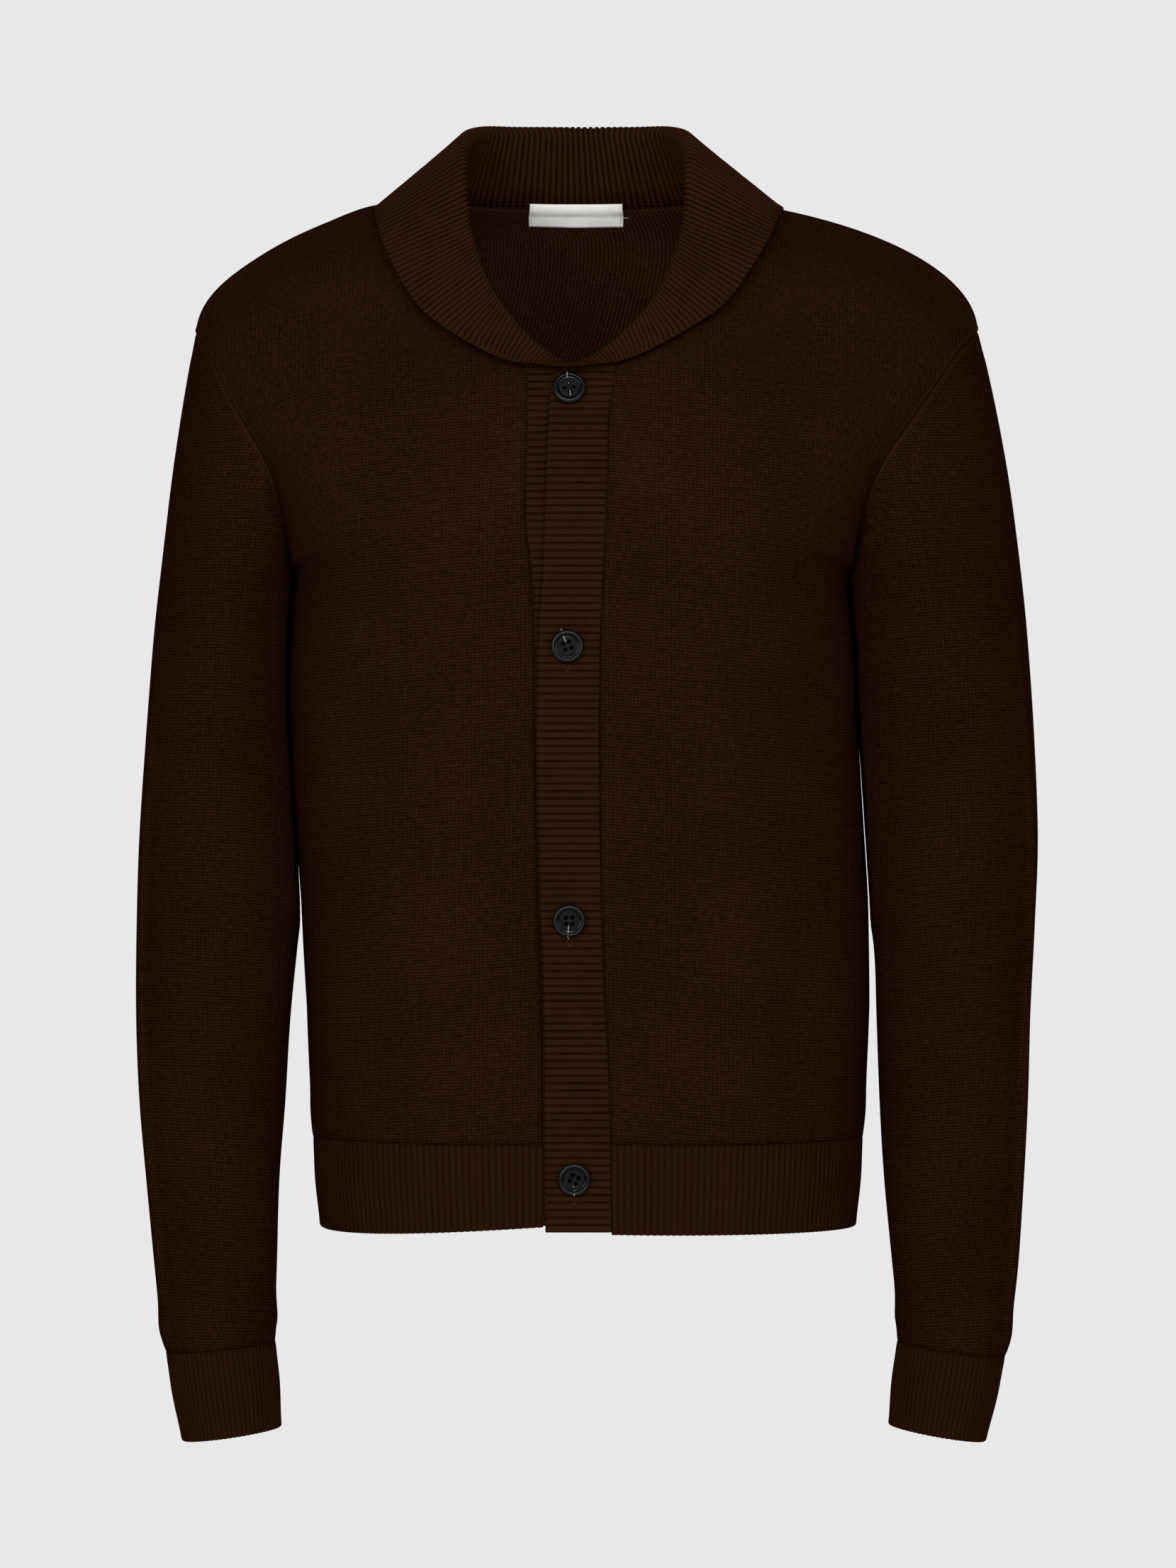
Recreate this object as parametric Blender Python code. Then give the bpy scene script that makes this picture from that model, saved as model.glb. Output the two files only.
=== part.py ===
"""A shawl collar cardigan in its worn, hollow shape, as the pieces that are knitted and sewn together.

Metres, +Z up. The front faces -Y and the wearer's left is +X. The origin is the middle of the neck
opening, level with the neck points of the two shoulder seams. Left and right are the wearer's.
"""

import math
from types import SimpleNamespace

import bmesh
import bpy
import numpy as np
from mathutils import Matrix

# Cloth and seams.
JERSEY = 0.0025  # wall of the plain knitted panels
RIB_WALL = 0.0030  # wall of the ribbed pieces, over the ridges
RIB_DEPTH = 0.0009  # how far the grooves between two ribs go in
SEAM = 0.0003  # clear gap between two pieces at a seam
LAYER_GAP = 0.0005  # clear gap between two layers that lie on each other
ARMHOLE_GAP = 0.0013  # how far a sleeve's head stays off the armhole's edge

# Rib pitches.
HEM_PITCH = 0.0041
CUFF_PITCH = 0.0034
BAND_PITCH = 0.0045
COLLAR_RIBS = 148

# Heights.
BAND_TOP_Z = -0.1100
BAND_BOTTOM_Z = -0.6335

# Grid densities: columns across a piece, rows along it.
SHOULDER_COLUMNS = 9
NECK_COLUMNS = 4
LOWER_ROWS = 7
UPPER_ROWS = 8
SLEEVE_RINGS = 15
HEM_POINTS = 61
CUFF_POINTS = 97
COLLAR_PROBES = 241
LABEL_COLUMNS = 8

# Buttons: 20 mm across, four holes.
BUTTON_RADIUS = 0.0100
BUTTON_THICKNESS = 0.0036
BUTTON_HOLE_RADIUS = 0.0010
BUTTON_HOLE_SPREAD = 0.0019
BUTTON_CLEAR = 0.0007  # the shank of thread holds a button this far off the band

LABEL_WIDTH = 0.060
LABEL_HEIGHT = 0.015
LABEL_THICKNESS = 0.0008
LABEL_CENTRE_X = -0.0075

FRONT_AXIS = np.array([0.0, -1.0, 0.0])
LEFT, RIGHT = 1, -1


class Table:
    """Named columns with a row for each section, read on a smooth curve through the rows."""

    def __init__(self, names, *rows):
        self.names = names.split()
        self.rows = np.array(rows, float)
        self.last = len(rows) - 1

    def at(self, index):
        """The columns at a fractional row number."""
        index = min(max(index, 0.0), float(self.last))
        i = min(int(index), self.last - 1)
        t = index - i
        here, after = self.rows[i], self.rows[i + 1]
        before = self.rows[i - 1] if i > 0 else 2 * here - after
        beyond = self.rows[i + 2] if i + 2 <= self.last else 2 * after - here
        bend = 2 * before - 5 * here + 4 * after - beyond
        twist = 3 * here - before - 3 * after + beyond
        values = here + 0.5 * (t * (after - before) + t * t * bend + t**3 * twist)
        return SimpleNamespace(**dict(zip(self.names, values)))

    def level(self, height):
        """The columns at a height, straight between the rows; the column z falls from row to row."""
        z = -self.rows[:, self.names.index("z")]
        values = [np.interp(-height, z, column) for column in self.rows.T]
        return SimpleNamespace(**dict(zip(self.names, values)))


# How far the whole garment leans sideways at each height, in its middle and at its sides.
LEAN = Table(
    "z middle side",
    (0.000, -0.0075, 0.0000),
    (-0.080, -0.0078, -0.0005),
    (-0.126, -0.0105, -0.0060),
    (-0.160, -0.0100, -0.0080),
    (-0.250, -0.0095, -0.0108),
    (-0.316, -0.0080, -0.0095),
    (-0.435, -0.0030, -0.0020),
    (-0.500, 0.0000, 0.0000),
)
LEAN_FROM, LEAN_TO = 0.10, 0.20  # |x| where the middle's lean gives way to the sides'

# A front, from the hem up to the shoulder seam. Each row runs from the band seam or the neckline
# (in), round a corner that its curve leans towards, to the side seam or the armhole (out). The
# in places are true ones; corner and out are half widths that the lean then moves.
FRONT = Table(
    "in_left in_right in_y in_z corner_x corner_y corner_z out_x out_y out_z",
    (0.0142, -0.0270, -0.1135, -0.6350, 0.1665, -0.1135, -0.6350, 0.1665, 0.000, -0.6350),
    (0.0136, -0.0270, -0.1170, -0.5807, 0.1707, -0.1170, -0.5807, 0.1707, 0.000, -0.5807),
    (0.0122, -0.0272, -0.1195, -0.5300, 0.1735, -0.1195, -0.5300, 0.1735, 0.000, -0.5300),
    (0.0093, -0.0280, -0.1220, -0.4800, 0.1752, -0.1220, -0.4800, 0.1752, 0.000, -0.4800),
    (0.0078, -0.0300, -0.1245, -0.4300, 0.1760, -0.1245, -0.4300, 0.1760, 0.000, -0.4300),
    (0.0069, -0.0312, -0.1270, -0.3800, 0.1760, -0.1270, -0.3800, 0.1760, 0.000, -0.3800),
    (0.0066, -0.0318, -0.1295, -0.3300, 0.1757, -0.1295, -0.3300, 0.1757, 0.000, -0.3300),
    (0.0070, -0.0318, -0.1325, -0.2830, 0.1755, -0.1325, -0.2830, 0.1752, 0.000, -0.2830),
    (0.0090, -0.0335, -0.1340, -0.2380, 0.1740, -0.1340, -0.2380, 0.1720, 0.000, -0.2380),
    (0.0106, -0.0374, -0.1335, -0.2060, 0.1800, -0.1310, -0.2120, 0.1722, -0.030, -0.2310),
    (0.0118, -0.0377, -0.1310, -0.1740, 0.1850, -0.1240, -0.1820, 0.1750, -0.051, -0.2080),
    (0.0121, -0.0362, -0.1245, -0.1430, 0.1900, -0.1160, -0.1540, 0.1805, -0.064, -0.1840),
    (0.0170, -0.0390, -0.1140, -0.1095, 0.1960, -0.1060, -0.1270, 0.1890, -0.069, -0.1640),
    (0.0455, -0.0635, -0.1020, -0.0940, 0.2040, -0.0920, -0.1030, 0.2010, -0.067, -0.1450),
    (0.0680, -0.0830, -0.0790, -0.0680, 0.2140, -0.0700, -0.0760, 0.2145, -0.057, -0.1240),
    (0.0790, -0.0940, -0.0450, -0.0310, 0.2285, -0.0410, -0.0410, 0.2295, -0.036, -0.0975),
    (0.0805, -0.0955, 0.0000, 0.0000, 0.2400, -0.0010, -0.0200, 0.2425, -0.003, -0.0820),
)

# The back, in the same way, from its middle (in) to the side seam or the armhole (out).
BACK = Table(
    "in_y in_z corner_x corner_y corner_z out_x out_y out_z",
    (0.1045, -0.6350, 0.1665, 0.1045, -0.6350, 0.1665, 0.000, -0.6350),
    (0.1080, -0.5807, 0.1707, 0.1080, -0.5807, 0.1707, 0.000, -0.5807),
    (0.1070, -0.5300, 0.1735, 0.1070, -0.5300, 0.1735, 0.000, -0.5300),
    (0.1060, -0.4800, 0.1752, 0.1060, -0.4800, 0.1752, 0.000, -0.4800),
    (0.1055, -0.4300, 0.1760, 0.1055, -0.4300, 0.1760, 0.000, -0.4300),
    (0.1060, -0.3800, 0.1760, 0.1060, -0.3800, 0.1760, 0.000, -0.3800),
    (0.1080, -0.3300, 0.1757, 0.1080, -0.3300, 0.1757, 0.000, -0.3300),
    (0.1105, -0.2830, 0.1755, 0.1105, -0.2830, 0.1752, 0.000, -0.2830),
    (0.1120, -0.2380, 0.1740, 0.1120, -0.2380, 0.1720, 0.000, -0.2380),
    (0.1125, -0.2040, 0.1800, 0.1100, -0.2080, 0.1725, 0.030, -0.2295),
    (0.1115, -0.1700, 0.1860, 0.1060, -0.1760, 0.1760, 0.051, -0.2060),
    (0.1090, -0.1370, 0.1920, 0.1000, -0.1460, 0.1835, 0.062, -0.1800),
    (0.1050, -0.1060, 0.1990, 0.0920, -0.1180, 0.1935, 0.065, -0.1570),
    (0.0990, -0.0770, 0.2070, 0.0800, -0.0920, 0.2055, 0.060, -0.1350),
    (0.0905, -0.0500, 0.2170, 0.0620, -0.0680, 0.2180, 0.047, -0.1140),
    (0.0790, -0.0225, 0.2305, 0.0380, -0.0370, 0.2312, 0.027, -0.0920),
    (0.0660, 0.0000, 0.2400, -0.0010, -0.0200, 0.2425, -0.003, -0.0820),
)
HEM_BOTTOM_ROW, HEM_SEAM_ROW, ARMPIT_ROW, TOP_ROW = 0, 1, 8, 16
NECKLINE_ROW = 12
ROW_FULLNESS = 0.60
NECK_HALF_WIDTH = 0.0880
NECK_LEAN = -0.0075
BACK_NECK_Y = 0.0660

# The buttonhole band's free edge. The button band's free edge is under it, a band's width from its seam.
BAND_EDGE = Table(
    "z x",
    (-0.1100, -0.0205),
    (-0.1250, -0.0225),
    (-0.1430, -0.0240),
    (-0.1740, -0.0252),
    (-0.2060, -0.0262),
    (-0.2380, -0.0272),
    (-0.2620, -0.0293),
    (-0.3300, -0.0308),
    (-0.4300, -0.0290),
    (-0.4800, -0.0268),
    (-0.5807, -0.0258),
    (-0.6350, -0.0258),
)
BAND_WIDTH = 0.0365
BAND_GAP = 0.0009  # clear gap between a band and its front
BAND_BACK_ROWS = 28  # rows up a band's plain inner side
BAND_SLOPE_REACH = 0.0040  # how far up and down the front's slope is measured at a band
BUTTON_BAND_STOP = 0.0020  # the button band ends this far short of the left front's seam
UNDER_LAYER = RIB_WALL + LAYER_GAP  # how far the right front lies under the left one

COLLAR_GAP = 0.0005  # clear gap between the collar's stand and the neckline

# The collar at stations from the front point to the middle of the back. The roll is the fold's
# crest, the edge is the fall's free edge, seam is how far round the half neckline the stand is
# sewn, and fold is the roll's radius.
COLLAR = Table(
    "seam roll_x roll_y roll_z edge_x edge_y edge_z fold bow",
    (0.000, 0.0026, -0.1165, -0.1065, 0.0090, -0.1262, -0.1115, 0.0030, 0.0000),
    (0.083, 0.0125, -0.1150, -0.1000, 0.0300, -0.1225, -0.1095, 0.0030, 0.0004),
    (0.152, 0.0300, -0.1070, -0.0890, 0.0580, -0.1135, -0.1013, 0.0032, 0.0010),
    (0.245, 0.0480, -0.0925, -0.0700, 0.0832, -0.0985, -0.0835, 0.0034, 0.0016),
    (0.354, 0.0600, -0.0745, -0.0460, 0.1037, -0.0800, -0.0626, 0.0037, 0.0022),
    (0.470, 0.0673, -0.0520, -0.0163, 0.1170, -0.0540, -0.0381, 0.0040, 0.0028),
    (0.575, 0.0697, -0.0240, 0.0185, 0.1262, -0.0200, -0.0125, 0.0043, 0.0034),
    (0.655, 0.0700, 0.0060, 0.0375, 0.1290, 0.0150, -0.0040, 0.0045, 0.0040),
    (0.745, 0.0620, 0.0340, 0.0460, 0.1080, 0.0560, -0.0115, 0.0045, 0.0036),
    (0.865, 0.0370, 0.0540, 0.0500, 0.0630, 0.0800, -0.0150, 0.0045, 0.0030),
    (1.000, 0.0000, 0.0610, 0.0515, 0.0000, 0.0890, -0.0160, 0.0045, 0.0030),
)
COLLAR_UNDER_STATIONS = 3.0  # the right end drops under the left one over this many stations
STAND_STEPS, FOLD_STEPS, FALL_STEPS = 1, 3, 2

# The sleeves, from the armhole to the cuff seam and on to the cuff's edge. Each ring reaches from
# its outer point to its inner one; middle_y is its middle and depth half its size front to back.
SLEEVE_LEFT = Table(
    "outer_x outer_z inner_x inner_z middle_y depth",
    (0.2425, -0.0820, 0.1610, -0.2380, 0.000, 0.068),
    (0.2480, -0.1080, 0.1600, -0.2450, -0.002, 0.069),
    (0.2545, -0.1420, 0.1600, -0.2560, -0.004, 0.067),
    (0.2610, -0.1800, 0.1605, -0.2730, -0.006, 0.065),
    (0.2672, -0.2250, 0.1615, -0.3000, -0.007, 0.062),
    (0.2725, -0.2720, 0.1630, -0.3330, -0.009, 0.059),
    (0.2768, -0.3300, 0.1660, -0.3770, -0.011, 0.056),
    (0.2790, -0.3950, 0.1705, -0.4250, -0.013, 0.054),
    (0.2765, -0.4500, 0.1768, -0.4650, -0.015, 0.052),
    (0.2730, -0.5056, 0.1785, -0.5100, -0.018, 0.050),
    (0.2710, -0.5584, 0.1802, -0.5584, -0.021, 0.048),
    (0.2681, -0.6110, 0.1826, -0.6080, -0.025, 0.045),
    (0.2645, -0.6640, 0.1867, -0.6590, -0.029, 0.041),
    (0.2600, -0.7010, 0.1895, -0.6920, -0.032, 0.038),
    (0.2568, -0.7200, 0.1900, -0.7105, -0.034, 0.036),
    (0.2450, -0.7700, 0.1846, -0.7600, -0.038, 0.033),
)
SLEEVE_RIGHT = Table(
    "outer_x outer_z inner_x inner_z middle_y depth",
    (0.2425, -0.0820, 0.1825, -0.2380, 0.000, 0.068),
    (0.2470, -0.1080, 0.1815, -0.2450, 0.000, 0.070),
    (0.2525, -0.1420, 0.1805, -0.2560, 0.000, 0.069),
    (0.2582, -0.1800, 0.1800, -0.2730, 0.000, 0.067),
    (0.2640, -0.2250, 0.1800, -0.3000, -0.001, 0.065),
    (0.2697, -0.2720, 0.1790, -0.3330, -0.003, 0.062),
    (0.2745, -0.3300, 0.1768, -0.3770, -0.006, 0.058),
    (0.2785, -0.3950, 0.1758, -0.4250, -0.009, 0.055),
    (0.2795, -0.4500, 0.1800, -0.4650, -0.012, 0.052),
    (0.2790, -0.5056, 0.1846, -0.5100, -0.016, 0.050),
    (0.2764, -0.5584, 0.1872, -0.5584, -0.020, 0.048),
    (0.2716, -0.6110, 0.1904, -0.6080, -0.024, 0.045),
    (0.2665, -0.6640, 0.1912, -0.6590, -0.028, 0.041),
    (0.2629, -0.6980, 0.1920, -0.6920, -0.031, 0.038),
    (0.2600, -0.7150, 0.1922, -0.7085, -0.033, 0.036),
    (0.2500, -0.7680, 0.1884, -0.7595, -0.037, 0.033),
)
CUFF_SEAM_RING, CUFF_EDGE_RING = 14, 15
ARMHOLE_FADE_RINGS = 5.0  # the armhole's own shape gives way to plain ovals over this many rings
SIDE_GAP = 0.0010  # clear gap where a sleeve lies flat along the body's side
CREASE_TURN, CREASE_WIDTH = 0.085, 0.060  # a soft lengthwise crease, just in front of the outer line
CREASE_HEIGHT = 0.0016
CREASE_FROM, CREASE_TO = 3.0, 14.0  # the rings where the crease rises and dies away

# The buttons' heights and places across, down the middle of the closed bands.
BUTTONS = Table(
    "x z",
    (-0.0113, -0.1252),
    (-0.0125, -0.2801),
    (-0.0113, -0.4451),
    (-0.0083, -0.6011),
)

# Colours (linear) and roughness.
JERSEY_COLOUR = (0.0185, 0.0061, 0.0030)
RIB_COLOUR = (0.0190, 0.0064, 0.0029)
LABEL_COLOUR = (0.65, 0.63, 0.58)
BUTTON_COLOUR = (0.0045, 0.0043, 0.0046)
JERSEY_ROUGHNESS, RIB_ROUGHNESS, LABEL_ROUGHNESS, BUTTON_ROUGHNESS = 0.9, 0.9, 0.8, 0.3


# ---------------------------------------------------------------- small geometry helpers


def point(x, y, z):
    return np.array([x, y, z], float)


def unit(vectors):
    return vectors / np.maximum(np.linalg.norm(vectors, axis=-1, keepdims=True), 1e-12)


def lean(x, z):
    """The x of a point once the garment's sideways lean is added."""
    row = LEAN.level(z)
    share = min(max((abs(x) - LEAN_FROM) / (LEAN_TO - LEAN_FROM), 0.0), 1.0)
    share = share * share * (3 - 2 * share)
    return x + row.middle + (row.side - row.middle) * share


def arc(start, corner, end, t):
    """A point on the curve from start to end that leans towards the corner."""
    first = start + ROW_FULLNESS * (corner - start)
    second = end + ROW_FULLNESS * (corner - end)
    s = 1 - t
    return s**3 * start + 3 * s * s * t * first + 3 * s * t * t * second + t**3 * end


def resampled(line, fractions):
    """Points at these fractions of a polyline's length."""
    steps = np.linalg.norm(np.diff(line, axis=0), axis=1)
    along = np.concatenate([[0.0], np.cumsum(steps)])
    places = np.asarray(fractions) * along[-1]
    return np.stack([np.interp(places, along, line[:, k]) for k in range(3)], axis=1)


def surface_normals(grid, closed):
    """The normals of a grid of points, which turn right-handedly from its rows to its columns."""
    if closed:
        around = np.roll(grid, -1, axis=1) - np.roll(grid, 1, axis=1)
    else:
        around = np.gradient(grid, axis=1)
    return unit(np.cross(np.gradient(grid, axis=0), around))


def turned_outwards(grid, normals):
    """The normals, flipped if they mostly point at the garment's own axis."""
    centre = grid.reshape(-1, 3).mean(axis=0) * np.array([0.0, 0.0, 1.0])
    outwards = grid - centre
    return normals if (normals * outwards).sum() > 0 else -normals


def trimmed(grid, closed, first=SEAM / 2):
    """The grid with its open edges drawn in by half a seam gap, its first row by a gap of its own."""
    result = grid.copy()
    half = SEAM / 2
    result[0] += unit(grid[1] - grid[0]) * first
    result[-1] += unit(grid[-2] - grid[-1]) * half
    if not closed:
        result[:, 0] += unit(grid[:, 1] - grid[:, 0]) * half
        result[:, -1] += unit(grid[:, -2] - grid[:, -1]) * half
    return result


def strip(a, b):
    """Triangles between two lines of vertex numbers that run the same way."""
    faces = []
    i = j = 0
    while i < len(a) - 1 or j < len(b) - 1:
        if (i + 1) * (len(b) - 1) <= (j + 1) * (len(a) - 1) and i < len(a) - 1:
            faces.append((a[i], a[i + 1], b[j]))
            i += 1
        else:
            faces.append((a[i], b[j + 1], b[j]))
            j += 1
    return faces


def grid_faces(numbers, closed):
    faces = []
    rows, columns = numbers.shape
    for r in range(rows - 1):
        for c in range(columns if closed else columns - 1):
            d = (c + 1) % columns
            faces.append((numbers[r, c], numbers[r, d], numbers[r + 1, d]))
            faces.append((numbers[r, c], numbers[r + 1, d], numbers[r + 1, c]))
    return faces


def ring_of(line, closed):
    return list(line) + [line[0]] if closed else list(line)


def cloth(name, outer, inner, material, closed=False):
    """A closed wall between an outer and an inner grid of points, which may differ in density."""
    outer = np.asarray(outer)
    inner = np.asarray(inner)
    count = outer.shape[0] * outer.shape[1]
    first = np.arange(count).reshape(outer.shape[:2])
    second = count + np.arange(inner.shape[0] * inner.shape[1]).reshape(inner.shape[:2])
    faces = grid_faces(first, closed) + grid_faces(second, closed)
    faces += strip(ring_of(first[0], closed), ring_of(second[0], closed))
    faces += strip(ring_of(first[-1], closed), ring_of(second[-1], closed))
    if not closed:
        faces += strip(first[:, 0], second[:, 0])
        faces += strip(first[:, -1], second[:, -1])
    return solid(name, np.concatenate([outer.reshape(-1, 3), inner.reshape(-1, 3)]), faces, material)


def solid(name, points, faces, material):
    """A mesh object of one closed body with its faces pointing out."""
    mesh = bpy.data.meshes.new(name)
    mesh.from_pydata([tuple(p) for p in points], [], [tuple(int(i) for i in f) for f in faces])
    shape = bmesh.new()
    shape.from_mesh(mesh)
    bmesh.ops.recalc_face_normals(shape, faces=shape.faces)
    if shape.calc_volume(signed=True) < 0:
        bmesh.ops.reverse_faces(shape, faces=shape.faces)
    shape.to_mesh(mesh)
    shape.free()
    mesh.shade_smooth()
    mesh.set_sharp_from_angle(angle=math.radians(50))
    mesh.materials.append(material)
    made = bpy.data.objects.new(name, mesh)
    bpy.context.scene.collection.objects.link(made)
    return made


def finish(name, colour, roughness):
    material = bpy.data.materials.new(name)
    material.use_nodes = True
    shader = material.node_tree.nodes["Principled BSDF"]
    shader.inputs["Base Color"].default_value = (*colour, 1.0)
    shader.inputs["Roughness"].default_value = roughness
    shader.inputs["Metallic"].default_value = 0.0
    return material


# ---------------------------------------------------------------- jersey panels


def front_row(side, index, fractions):
    """One row of a front, at these fractions of its curve."""
    row = FRONT.at(index)
    under = 0.0 if side == LEFT else UNDER_LAYER * under_share(row.in_z)
    start = point(row.in_left if side == LEFT else row.in_right, row.in_y + under, row.in_z)
    corner = point(lean(side * row.corner_x, row.corner_z), row.corner_y, row.corner_z)
    end = point(lean(side * row.out_x, row.out_z), row.out_y, row.out_z)
    return np.array([arc(start, corner, end, t) for t in fractions])


def under_share(z):
    """How fully the right front lies under the left one: all of it at the bands, none at the neck."""
    return min(max((-0.045 - z) / 0.050, 0.0), 1.0)


def back_row(index, fractions):
    """One row of the back from the right to the left, at these fractions of each half's curve."""
    share = max(0.0, (index - ARMPIT_ROW) / (TOP_ROW - ARMPIT_ROW)) ** 3
    halves = []
    for side in (RIGHT, LEFT):
        curve = half_back(side, index, fractions)
        if share > 0:
            curve += share * (back_top(side) - half_back(side, TOP_ROW, fractions))
        halves.append(curve)
    return np.concatenate([halves[0][::-1], halves[1][1:]])


def half_back(side, index, fractions):
    row = BACK.at(index)
    start = point(lean(0.0, row.in_z), row.in_y, row.in_z)
    corner = point(lean(side * row.corner_x, row.corner_z), row.corner_y, row.corner_z)
    end = point(lean(side * row.out_x, row.out_z), row.out_y, row.out_z)
    return np.array([arc(start, corner, end, t) for t in fractions])


def back_top(side):
    """The back's top edge on one side: the neckline's quarter oval, then the shoulder seam."""
    turns = np.linspace(0.0, math.pi / 2, NECK_COLUMNS + 1)
    oval = [
        point(NECK_LEAN + side * NECK_HALF_WIDTH * math.sin(a), BACK_NECK_Y * math.cos(a), 0.0)
        for a in turns
    ]
    shoulder = front_row(side, TOP_ROW, np.linspace(0, 1, SHOULDER_COLUMNS + 1))
    return np.concatenate([oval[:-1], shoulder])


def panel_rows():
    """The row numbers of a panel's grid, from the hem seam to the shoulder."""
    lower = np.linspace(HEM_SEAM_ROW, ARMPIT_ROW, LOWER_ROWS + 1)
    upper = np.linspace(ARMPIT_ROW, TOP_ROW, UPPER_ROWS + 1)
    return np.concatenate([lower, upper[1:]])


def front_grid(side):
    fractions = np.linspace(0, 1, SHOULDER_COLUMNS + 1)
    return np.array([front_row(side, index, fractions) for index in panel_rows()])


def back_grid():
    fractions = np.linspace(0, 1, NECK_COLUMNS + SHOULDER_COLUMNS + 1)
    return np.array([back_row(index, fractions) for index in panel_rows()])


# ---------------------------------------------------------------- sleeves


def oval(row, side, turns):
    """A sleeve's ring: turns of 0 are its outer point, a quarter its front, a half its inner point."""
    outer = point(side * row.outer_x, 0.0, row.outer_z)
    inner = point(side * row.inner_x, 0.0, row.inner_z)
    middle = (outer + inner) / 2 + point(0.0, row.middle_y, 0.0)
    reach = (outer - inner) / 2
    angles = 2 * math.pi * np.asarray(turns)
    return (
        middle
        + np.cos(angles)[:, None] * reach
        + np.sin(angles)[:, None] * FRONT_AXIS * row.depth
    )


def armhole(side, front, back):
    """The armhole's points: down the front from the shoulder tip, then up the back."""
    down = front[LOWER_ROWS:, -1][::-1]
    up = back[LOWER_ROWS:, -1 if side == LEFT else 0]
    return np.concatenate([down, up[1:-1]])


def turns_of(loop):
    """The turn of each of the armhole's points: its front half makes half a turn, as does its back."""
    half = UPPER_ROWS
    steps = np.linalg.norm(np.roll(loop, -1, axis=0) - loop, axis=1)
    front = np.cumsum(steps[:half]) / steps[:half].sum()
    back = np.cumsum(steps[half:]) / steps[half:].sum()
    return np.concatenate([[0.0], 0.5 * front, 0.5 + 0.5 * back[:-1]])


def sleeve_grid(side, loop):
    table = SLEEVE_LEFT if side == LEFT else SLEEVE_RIGHT
    turns = turns_of(loop)
    own_shape = loop - oval(table.at(0), side, turns)
    rings = []
    for index in np.linspace(0, CUFF_SEAM_RING, SLEEVE_RINGS + 1):
        share = max(0.0, 1 - index / ARMHOLE_FADE_RINGS) ** 2
        ring = oval(table.at(index), side, turns) + share * own_shape
        ring += crease(index, turns)[:, None] * unit(ring - ring.mean(axis=0))
        if index > 0:
            nearest = np.array([side_x(side, z) for z in ring[:, 2]]) + SIDE_GAP
            ring[:, 0] = side * np.maximum(side * ring[:, 0], nearest)
        rings.append(ring)
    return np.array(rings)


def crease(index, turns):
    """How far the lengthwise crease stands up at each turn of a ring."""
    along = min(max((index - CREASE_FROM) / (CREASE_TO - CREASE_FROM), 0.0), 1.0)
    across = np.maximum(0.0, 1 - np.abs(turns - CREASE_TURN) / CREASE_WIDTH)
    return CREASE_HEIGHT * math.sin(math.pi * along) * across


def side_x(side, z):
    """How far out the body's side seam is at a height below the armpit, on one side."""
    rows = FRONT.rows[: ARMPIT_ROW + 1]
    heights = rows[:, FRONT.names.index("out_z")]
    widths = rows[:, FRONT.names.index("out_x")]
    if z > heights[-1]:
        return 0.0
    return side * lean(side * float(np.interp(z, heights, widths)), z)


# ---------------------------------------------------------------- panels and sleeves as walls


def shared_normals(groups):
    """Each grid's normals, made the same wherever two grids share a point, so that walls meet flush.
    A group's own normals there count as one, so that body and sleeve share the angle between them."""
    totals = {}
    for group in groups:
        sums = {}
        for grid, normals in group:
            for p, n in zip(grid.reshape(-1, 3), normals.reshape(-1, 3)):
                key = tuple(np.round(p, 6))
                sums[key] = sums.get(key, 0) + n
        for key, total in sums.items():
            totals[key] = totals.get(key, 0) + unit(total)
    grids = [grid for group in groups for grid, _ in group]
    return [
        unit(np.array([totals[tuple(np.round(p, 6))] for p in grid.reshape(-1, 3)])).reshape(grid.shape)
        for grid in grids
    ]


def make_panels(material):
    """The back, the fronts and the sleeves; returns each panel's trimmed outer and inner grids."""
    back = back_grid()
    fronts = {side: front_grid(side) for side in (LEFT, RIGHT)}
    sleeves = {side: sleeve_grid(side, armhole(side, fronts[side], back)) for side in (LEFT, RIGHT)}
    names = ["back", "front_left", "front_right", "sleeve_left", "sleeve_right"]
    grids = [back, fronts[LEFT], fronts[RIGHT], sleeves[LEFT], sleeves[RIGHT]]
    rough = []
    for name, grid in zip(names, grids):
        closed = name.startswith("sleeve")
        normals = surface_normals(grid, closed)
        if closed:
            out = grid - grid.mean(axis=1, keepdims=True)
            normals = normals if (normals * out).sum() > 0 else -normals
        else:
            normals = turned_outwards(grid, normals)
        rough.append((grid, normals))
    made = {}
    for name, grid, normals in zip(names, grids, shared_normals([rough[:3], rough[3:]])):
        closed = name.startswith("sleeve")
        first = ARMHOLE_GAP if closed else SEAM / 2
        outer = trimmed(grid, closed, first)
        inner = trimmed(grid - JERSEY * normals, closed, first)
        cloth(name, outer, inner, material, closed)
        made[name] = (outer, inner)
    return made


# ---------------------------------------------------------------- ribbed hem and cuffs


def ribbed_wall(name, top, bottom, ribs, material, ends=None):
    """A ribbed tube, or with ends a strip, between two dense lines, with grooves between its ribs."""
    closed = ends is None
    count = 2 * ribs
    fractions = np.linspace(0, 1, count + 1)
    plain = np.linspace(0, 1, max(count // 8, 4) + 1)
    rows = []
    backs = []
    for line in (top, bottom):
        fine = resampled(line, fractions)
        normals = flat_normals(fine, closed, ends)
        fine[1::2] -= RIB_DEPTH * normals[1::2]
        rows.append(fine)
        smooth = resampled(line, plain)
        backs.append(smooth - RIB_WALL * flat_normals(smooth, closed, ends))
    outer = np.array(rows)
    inner = np.array(backs)
    if closed:
        outer, inner = outer[:, :-1], inner[:, :-1]
    cloth(name, outer, inner, material, closed)


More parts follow.
